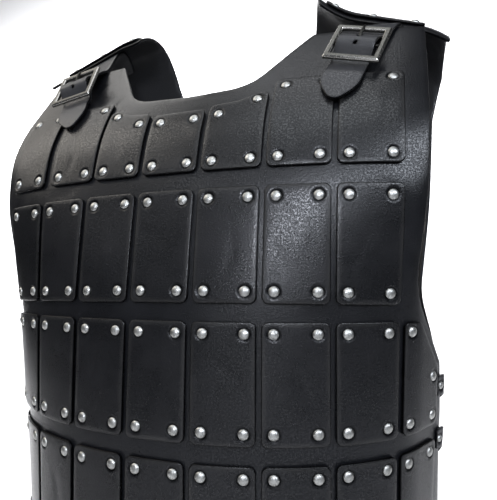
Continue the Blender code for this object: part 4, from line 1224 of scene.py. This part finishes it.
for label, side, across, down, lean, _ in SHOULDER_CLOSURES:
    centre, u_axis, v_axis, n_axis = buckle_axes(side, across, down, math.radians(lean))
    lower, upper = SEAT + CHAPE, 2.0 * SEAT + CHAPE
    inner = BAR_RADIUS + SEAT
    first, last = (math.radians(turn) for turn in CHAPE_FOLD)
    path = [(CHAPE_REACH, lower, 0.0, -1.0)]
    angle = math.radians(0.5 * (270.0 + CHAPE_FOLD[0]))
    path.append((CHAPE_PINCH, lower, math.cos(angle), math.sin(angle)))
    for step in range(10):
        angle = first + (last - first) * step / 9
        path.append((inner * math.cos(angle), BUCKLE_LIFT + inner * math.sin(angle),
                     math.cos(angle), math.sin(angle)))
    angle = math.radians(0.5 * (90.0 + CHAPE_FOLD[1]))
    path.append((CHAPE_PINCH, upper, math.cos(angle), math.sin(angle)))
    path.append((CHAPE_REACH, upper, 0.0, 1.0))
    half = 0.5 * CHAPE_WIDTH
    stations = [
        (*(centre + u_axis * u + v_axis * v + n_axis * h for u in (-half, 0.0, half)),
         v_axis * out_v + n_axis * out_h)
        for v, h, out_v, out_h in path
    ]
    route = Route(stations, half)
    end = route.runs[-1]
    cut = oblong(CHAPE_WIDTH, 0.0, end)
    middle = 0.5 * (route.runs[2] + route.runs[11])
    slot_hole = cornered(oblong(CHAPE_SLOT[0], middle - 0.5 * CHAPE_SLOT[1],
                                middle + 0.5 * CHAPE_SLOT[1]), PRONG_SLOT_CORNER)
    chape = leather_wall(
        f"leather_chape_{label}", route.place, cornered(cut, 1.5 * MM), 0.0,
        CHAPE, 1.6 * MM, holes=[slot_hole], rounding=0.5 * MM, tone=0.1,
    )
    dressed(chape, STRAP_LEATHER_PAINTED_LIGHT, f"shoulder_chape_{label}")


# The buckles: square cast frames in antique nickel, whose beveled edges are rubbed bright. The
# chape holds the middle bar, and the prong rests on the top bar; bar and prong are coloured near
# black, as painted shade for the strap's shade over them.

BUCKLE_NICKEL = nickel_material(
    "buckle_nickel", base=(0.22, 0.215, 0.195), dark=(0.11, 0.107, 0.098), smooth=0.32, dull=0.5,
    speck_scale=900.0, bump=0.5,
)
POLISHED_NICKEL = nickel_material(
    "polished_nickel", base=(0.68, 0.66, 0.62), dark=(0.5, 0.48, 0.45), smooth=0.2, dull=0.34,
    speck_scale=300.0, bump=0.05,
)
# Near-black nickel for the middle bar and the prong: painted shade, for the shade the strap casts on
# them.
PAINTED_SHADE_NICKEL = nickel_material(
    "blackened_nickel", base=(0.07, 0.068, 0.062), dark=(0.035, 0.034, 0.03), smooth=0.36, dull=0.55,
    speck_scale=600.0, bump=0.2,
)
BUCKLE_WIDTH = 54.0 * MM
BUCKLE_LENGTH = 52.0 * MM
BUCKLE_TILT = -6.6
FRAME_OVER_BAR = 1.8 * MM
FRAME_CORNER = 1.3
FRAME_CORNER_LESS = 0.15
BAR_INSET = 3.0 * MM
BUCKLE_SECTION = (
    # inset, height: once round the section of the frame's bars
    (0.0, -1.7),
    (0.0, 0.1),
    (0.25, 0.6),
    (1.4, 1.75),
    (1.8, 2.0),
    (4.4, 2.0),
    (4.9, 1.85),
    (5.8, 1.1),
    (6.0, 0.8),
    (6.0, -1.7),
    (5.7, -2.0),
    (0.3, -2.0),
)
RUBBED_BRIGHT = (1, 2, 6, 7)
PRONG_PATH = (
    # along, height over the middle bar, radius
    (3.4, -0.6, 1.2),
    (1.5, 0.4, 1.6),
    (0, 0.6, 1.6),
    (-4.5, 2.3, 1.55),
    (-9, 5.0, 1.5),
    (-14, 6.6, 1.4),
    (-21, 7.2, 1.3),
    (-25.5, 6.4, 1.0),
    (-26.3, 6.1, 0.5),
)


def loop_surface(verts, faces, rings, closed):
    """Joins rings of points, of equal count, into faces; closes round or caps the ends."""
    starts = []
    for ring in rings:
        starts.append(len(verts))
        verts.extend(ring)
    count = len(rings[0])
    pairs = list(zip(starts, starts[1:] + starts[:1])) if closed else list(zip(starts, starts[1:]))
    for a, b in pairs:
        faces.extend((a + k, a + (k + 1) % count, b + (k + 1) % count, b + k) for k in range(count))
    if not closed:
        faces.append(tuple(range(starts[0], starts[0] + count))[::-1])
        faces.append(tuple(range(starts[-1], starts[-1] + count)))


def round_bar(place, path, sides):
    """Rings of a round bar along a path of (u, v, h, radius)."""
    rings = []
    for index, (u, v, h, radius) in enumerate(path):
        before, after = path[max(index - 1, 0)], path[min(index + 1, len(path) - 1)]
        along = (Vector(after[:3]) - Vector(before[:3])).normalized()
        sideways = Vector((0.0, 0.0, 1.0)) if abs(along.x) > 0.5 else Vector((1.0, 0.0, 0.0))
        other = along.cross(sideways).normalized()
        turns = [2.0 * math.pi * k / sides for k in range(sides)]
        spokes = [radius * (math.cos(t) * sideways + math.sin(t) * other) for t in turns]
        rings.append([place(u + s.x, v + s.y, h + s.z) for s in spokes])
    return rings


for label, side, across, down, lean, _ in SHOULDER_CLOSURES:
    centre, u_axis, v_axis, n_axis = buckle_axes(side, across, down, math.radians(lean))
    tilt = math.radians(BUCKLE_TILT)

    def flat_place(u, v, h):
        return centre + u_axis * u + v_axis * v + n_axis * (BUCKLE_LIFT + h)

    def tilted_place(u, v, h):
        return flat_place(u, v * math.cos(tilt) - h * math.sin(tilt),
                          v * math.sin(tilt) + h * math.cos(tilt) + FRAME_OVER_BAR)

    verts, faces, rings = [], [], []
    for inset_by, height in BUCKLE_SECTION:
        half_u = 0.5 * BUCKLE_WIDTH - inset_by * MM
        half_v = 0.5 * BUCKLE_LENGTH - inset_by * MM
        corner = (FRAME_CORNER - FRAME_CORNER_LESS * inset_by) * MM
        ring = rounded([(half_u, half_v, corner), (-half_u, half_v, corner),
                        (-half_u, -half_v, corner), (half_u, -half_v, corner)])
        rings.append([tilted_place(u, v, height * MM) for u, v in ring])
    loop_surface(verts, faces, rings, closed=True)
    around, frame_faces = len(rings[0]), len(faces)
    reach = 0.5 * BUCKLE_WIDTH - BAR_INSET
    bar = [(u, 0.0, 0.0, BAR_RADIUS) for u in (-reach, 0.0, reach)]
    loop_surface(verts, faces, round_bar(flat_place, bar, 16), closed=False)
    prong = [(0.0, v * MM, h * MM, radius * MM) for v, h, radius in PRONG_PATH]
    loop_surface(verts, faces, round_bar(flat_place, prong, 12), closed=False)
    mesh = bpy.data.meshes.new(f"buckle_{label}")
    mesh.from_pydata([tuple(vert) for vert in verts], [], faces)
    mesh.shade_smooth()
    mesh.set_sharp_from_angle(angle=math.radians(24.0))
    for finish in (BUCKLE_NICKEL, POLISHED_NICKEL, PAINTED_SHADE_NICKEL):
        mesh.materials.append(finish)
    for polygon in mesh.polygons:
        # Middle bar and prong take the near-black nickel, which is painted shade.
        if polygon.index >= frame_faces:
            polygon.material_index = 2
        elif polygon.index // around in RUBBED_BRIGHT:
            polygon.material_index = 1
    turned_outwards(mesh)
    buckle = bpy.data.objects.new(f"buckle_{label}", mesh)
    bpy.context.collection.objects.link(buckle)
    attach(buckle, "root")
    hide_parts(f"shoulder_buckle_{label}")


# The side straps: two short straps a side, riveted to the front and to the back across the gap.

SIDE_STRAPS = (
    # level, height, front edge, back edge
    ("upper", -403.0 * MM, 288.8 * MM, 276.5 * MM),
    ("lower", -457.0 * MM, 292.6 * MM, 266.5 * MM),
)
SIDE_STRAP_SEATS = (11.5 * MM, 6.0 * MM)
SIDE_STRAP_PAST = 0.6 * MM
SIDE_STRAP = 2.5 * MM
SIDE_STRAP_WIDTH = 20.0 * MM
SIDE_RIVET_IN = 5.6 * MM
SIDE_RIVET_SUNK = 0.6 * MM
half = 0.5 * SIDE_STRAP_WIDTH
side_rivets = []
for level, height, front_at, back_at in SIDE_STRAPS:
    for label, side in (("right", -1.0), ("left", 1.0)):
        seats = (*SIDE_STRAP_SEATS, -SIDE_STRAP_PAST)
        stations = []
        for form, edge, ends in ((FRONT, front_at, seats), (BACK, back_at, seats[::-1])):
            at = form.down_at(height)
            for inwards in ends:
                spots = [(edge - inwards, at + u) for u in (-half, 0.0, half)]
                stations.append(station_on(form, side, spots, WALL + SEAT))
        route = Route(stations, half)
        end = route.runs[-1]
        cut = cornered(oblong(SIDE_STRAP_WIDTH, 0.0, end), 3.0 * MM)
        rivets = [(0.0, SIDE_RIVET_IN), (0.0, end - SIDE_RIVET_IN)]
        strap = leather_wall(
            f"leather_side_strap_{label}_{level}", route.place, cut, 0.0, SIDE_STRAP, 2.0 * MM,
            rivets=rivets, rounding=0.8 * MM, tone=0.1,
        )
        for x, run in rivets:
            low, high = (Vector(route.place([x], [run], [out])[0]) for out in (0.0, SIDE_STRAP))
            stands = (high - low).normalized()
            side_rivets.append((high - stands * SIDE_RIVET_SUNK, stands))
        dressed(strap, STRAP_LEATHER_PAINTED_LIGHT, f"side_strap_{label}_{level}")

rivets_on_side_straps = set_rivets("rivets_on_side_straps", side_rivets, 3.6 * MM, 2.2 * MM)


# The studio: a pale floor that curves up into a pale wall, soft lamps from the left, the front
# and the right, and the camera at the photograph's angle. The sky looks pale but hardly shines.

FLOOR_HEIGHT = -1.35
FLOOR_FRONT = -6.0
FLOOR_SIDES = (-6.0, 5.0)
BEND_FROM = 1.6
BEND = 1.2
WALL_TOP = 4.2
SKY_LIGHT = 0.03
SKY_SEEN = 0.62


def sweep_mesh(name):
    """Floor and wall in one sheet, with a wide curve between them."""
    turns = [math.radians(degrees) for degrees in range(10, 91, 10)]
    profile = [(FLOOR_FRONT, 0.0), (BEND_FROM, 0.0)]
    profile += [(BEND_FROM + BEND * math.sin(turn), BEND - BEND * math.cos(turn)) for turn in turns]
    profile.append((BEND_FROM + BEND, WALL_TOP))
    verts = [(x, y, FLOOR_HEIGHT + z) for y, z in profile for x in FLOOR_SIDES]
    faces = [(2 * k, 2 * k + 1, 2 * k + 3, 2 * k + 2) for k in range(len(profile) - 1)]
    mesh = bpy.data.meshes.new(name)
    mesh.from_pydata(verts, [], faces)
    mesh.shade_smooth()
    return mesh


floor_material = bpy.data.materials.new("studio_floor")
floor_material.use_nodes = True
floor_shader = floor_material.node_tree.nodes["Principled BSDF"]
floor_shader.inputs["Base Color"].default_value = (0.56, 0.56, 0.57, 1.0)
floor_shader.inputs["Roughness"].default_value = 0.9
floor = bpy.data.objects.new("studio_floor", sweep_mesh("studio_floor"))
floor.data.materials.append(floor_material)
bpy.context.collection.objects.link(floor)

world = bpy.data.worlds.new("studio_world")
bpy.context.scene.world = world
world.use_nodes = True
studio = world.node_tree
sky = give(studio, studio.nodes["Background"], {
    "Color": (0.93, 0.96, 1.0, 1.0), "Strength": SKY_LIGHT})
seen_sky = node(studio, "ShaderNodeBackground", {
    "Color": (0.96, 0.97, 1.0, 1.0), "Strength": SKY_SEEN})
either_sky = node(studio, "ShaderNodeMixShader", {
    "Fac": node(studio, "ShaderNodeLightPath")["Is Camera Ray"], 1: sky[0], 2: seen_sky[0]})
give(studio, studio.nodes["World Output"], {"Surface": either_sky[0]})
bpy.context.scene.view_settings.view_transform = "Standard"

CHEST = Vector((0.0, -0.1, -0.25))
LAMP_DISTANCE = 3.4
WALL_LAMP_PLACE = Vector((-1.7, 1.2, 1.3))
WALL_LAMP_AIM = Vector((-1.7, 2.8, 0.1))
LAMPS = (
    # name, round from the front to the wearer's left, up, width, height (all degrees),
    # brightness, colour
    ("window", -97, 32, 42, 26, 0.7, (1.0, 0.95, 0.88)),
    ("window_middle", -74, 36, 26, 28, 1.5, (1.0, 0.94, 0.86)),
    ("window_end", -55, 47, 20, 20, 2.3, (1.0, 0.96, 0.9)),
    ("window_top", -112, 58, 40, 18, 1.8, (1.0, 0.98, 0.95)),
    ("high", 12, 58, 40, 26, 1.9, (0.9, 0.95, 1.0)),
    ("chest", -20, 33, 26, 12, 1.2, (0.92, 0.95, 1.0)),
    ("low_left", -42, 17, 26, 14, 0.4, (0.92, 0.95, 1.0)),
    ("spot", 7, 17, 10, 10, 26.0, (0.86, 0.9, 1.0)),
    ("strip", 43, 25, 60, 12, 5.4, (0.84, 0.9, 1.0)),
    ("strip_end", 54, 25, 30, 14, 3.2, (0.84, 0.9, 1.0)),
    ("upright", 2, -3, 30, 26, 0.5, (0.9, 0.94, 1.0)),
    ("top", 0, 86, 30, 30, 1.3, (0.95, 0.97, 1.0)),
)


def hang_lamp(name, place, aim, width, height, brightness, colour):
    lamp = bpy.data.lights.new(name, "AREA")
    lamp.shape = "RECTANGLE"
    lamp.size = width
    lamp.size_y = height
    lamp.energy = brightness * math.pi * width * height
    lamp.color = colour
    holder = bpy.data.objects.new(name, lamp)
    holder.location = place
    holder.rotation_euler = (aim - place).to_track_quat("-Z", "Y").to_euler()
    holder.visible_camera = False
    bpy.context.collection.objects.link(holder)


def lamp_span(degrees):
    return 2.0 * LAMP_DISTANCE * math.tan(math.radians(0.5 * degrees))


for name, round_to, up, width, height, brightness, colour in LAMPS:
    turn, rise = math.radians(round_to), math.radians(up)
    away = Vector((math.sin(turn) * math.cos(rise), -math.cos(turn) * math.cos(rise), math.sin(rise)))
    hang_lamp(name, CHEST + away * LAMP_DISTANCE, CHEST, lamp_span(width), lamp_span(height),
              brightness, colour)
hang_lamp("wall", WALL_LAMP_PLACE, WALL_LAMP_AIM, 4.0, 0.8, 34.0, (1.0, 1.0, 1.0))

CAMERA_PLACE = (0.2116, -0.5400, -0.3038)
CAMERA_TURN = 0.332
CAMERA_RISE = 0.075
CAMERA_LENS = 33.3
camera_data = bpy.data.cameras.new("camera")
camera_data.lens = CAMERA_LENS
camera_data.sensor_width = 36.0
camera_data.clip_start = 0.02
camera = bpy.data.objects.new("camera", camera_data)
camera.location = CAMERA_PLACE
camera.rotation_euler = (0.5 * math.pi + CAMERA_RISE, 0.0, CAMERA_TURN)
bpy.context.collection.objects.link(camera)
bpy.context.scene.camera = camera
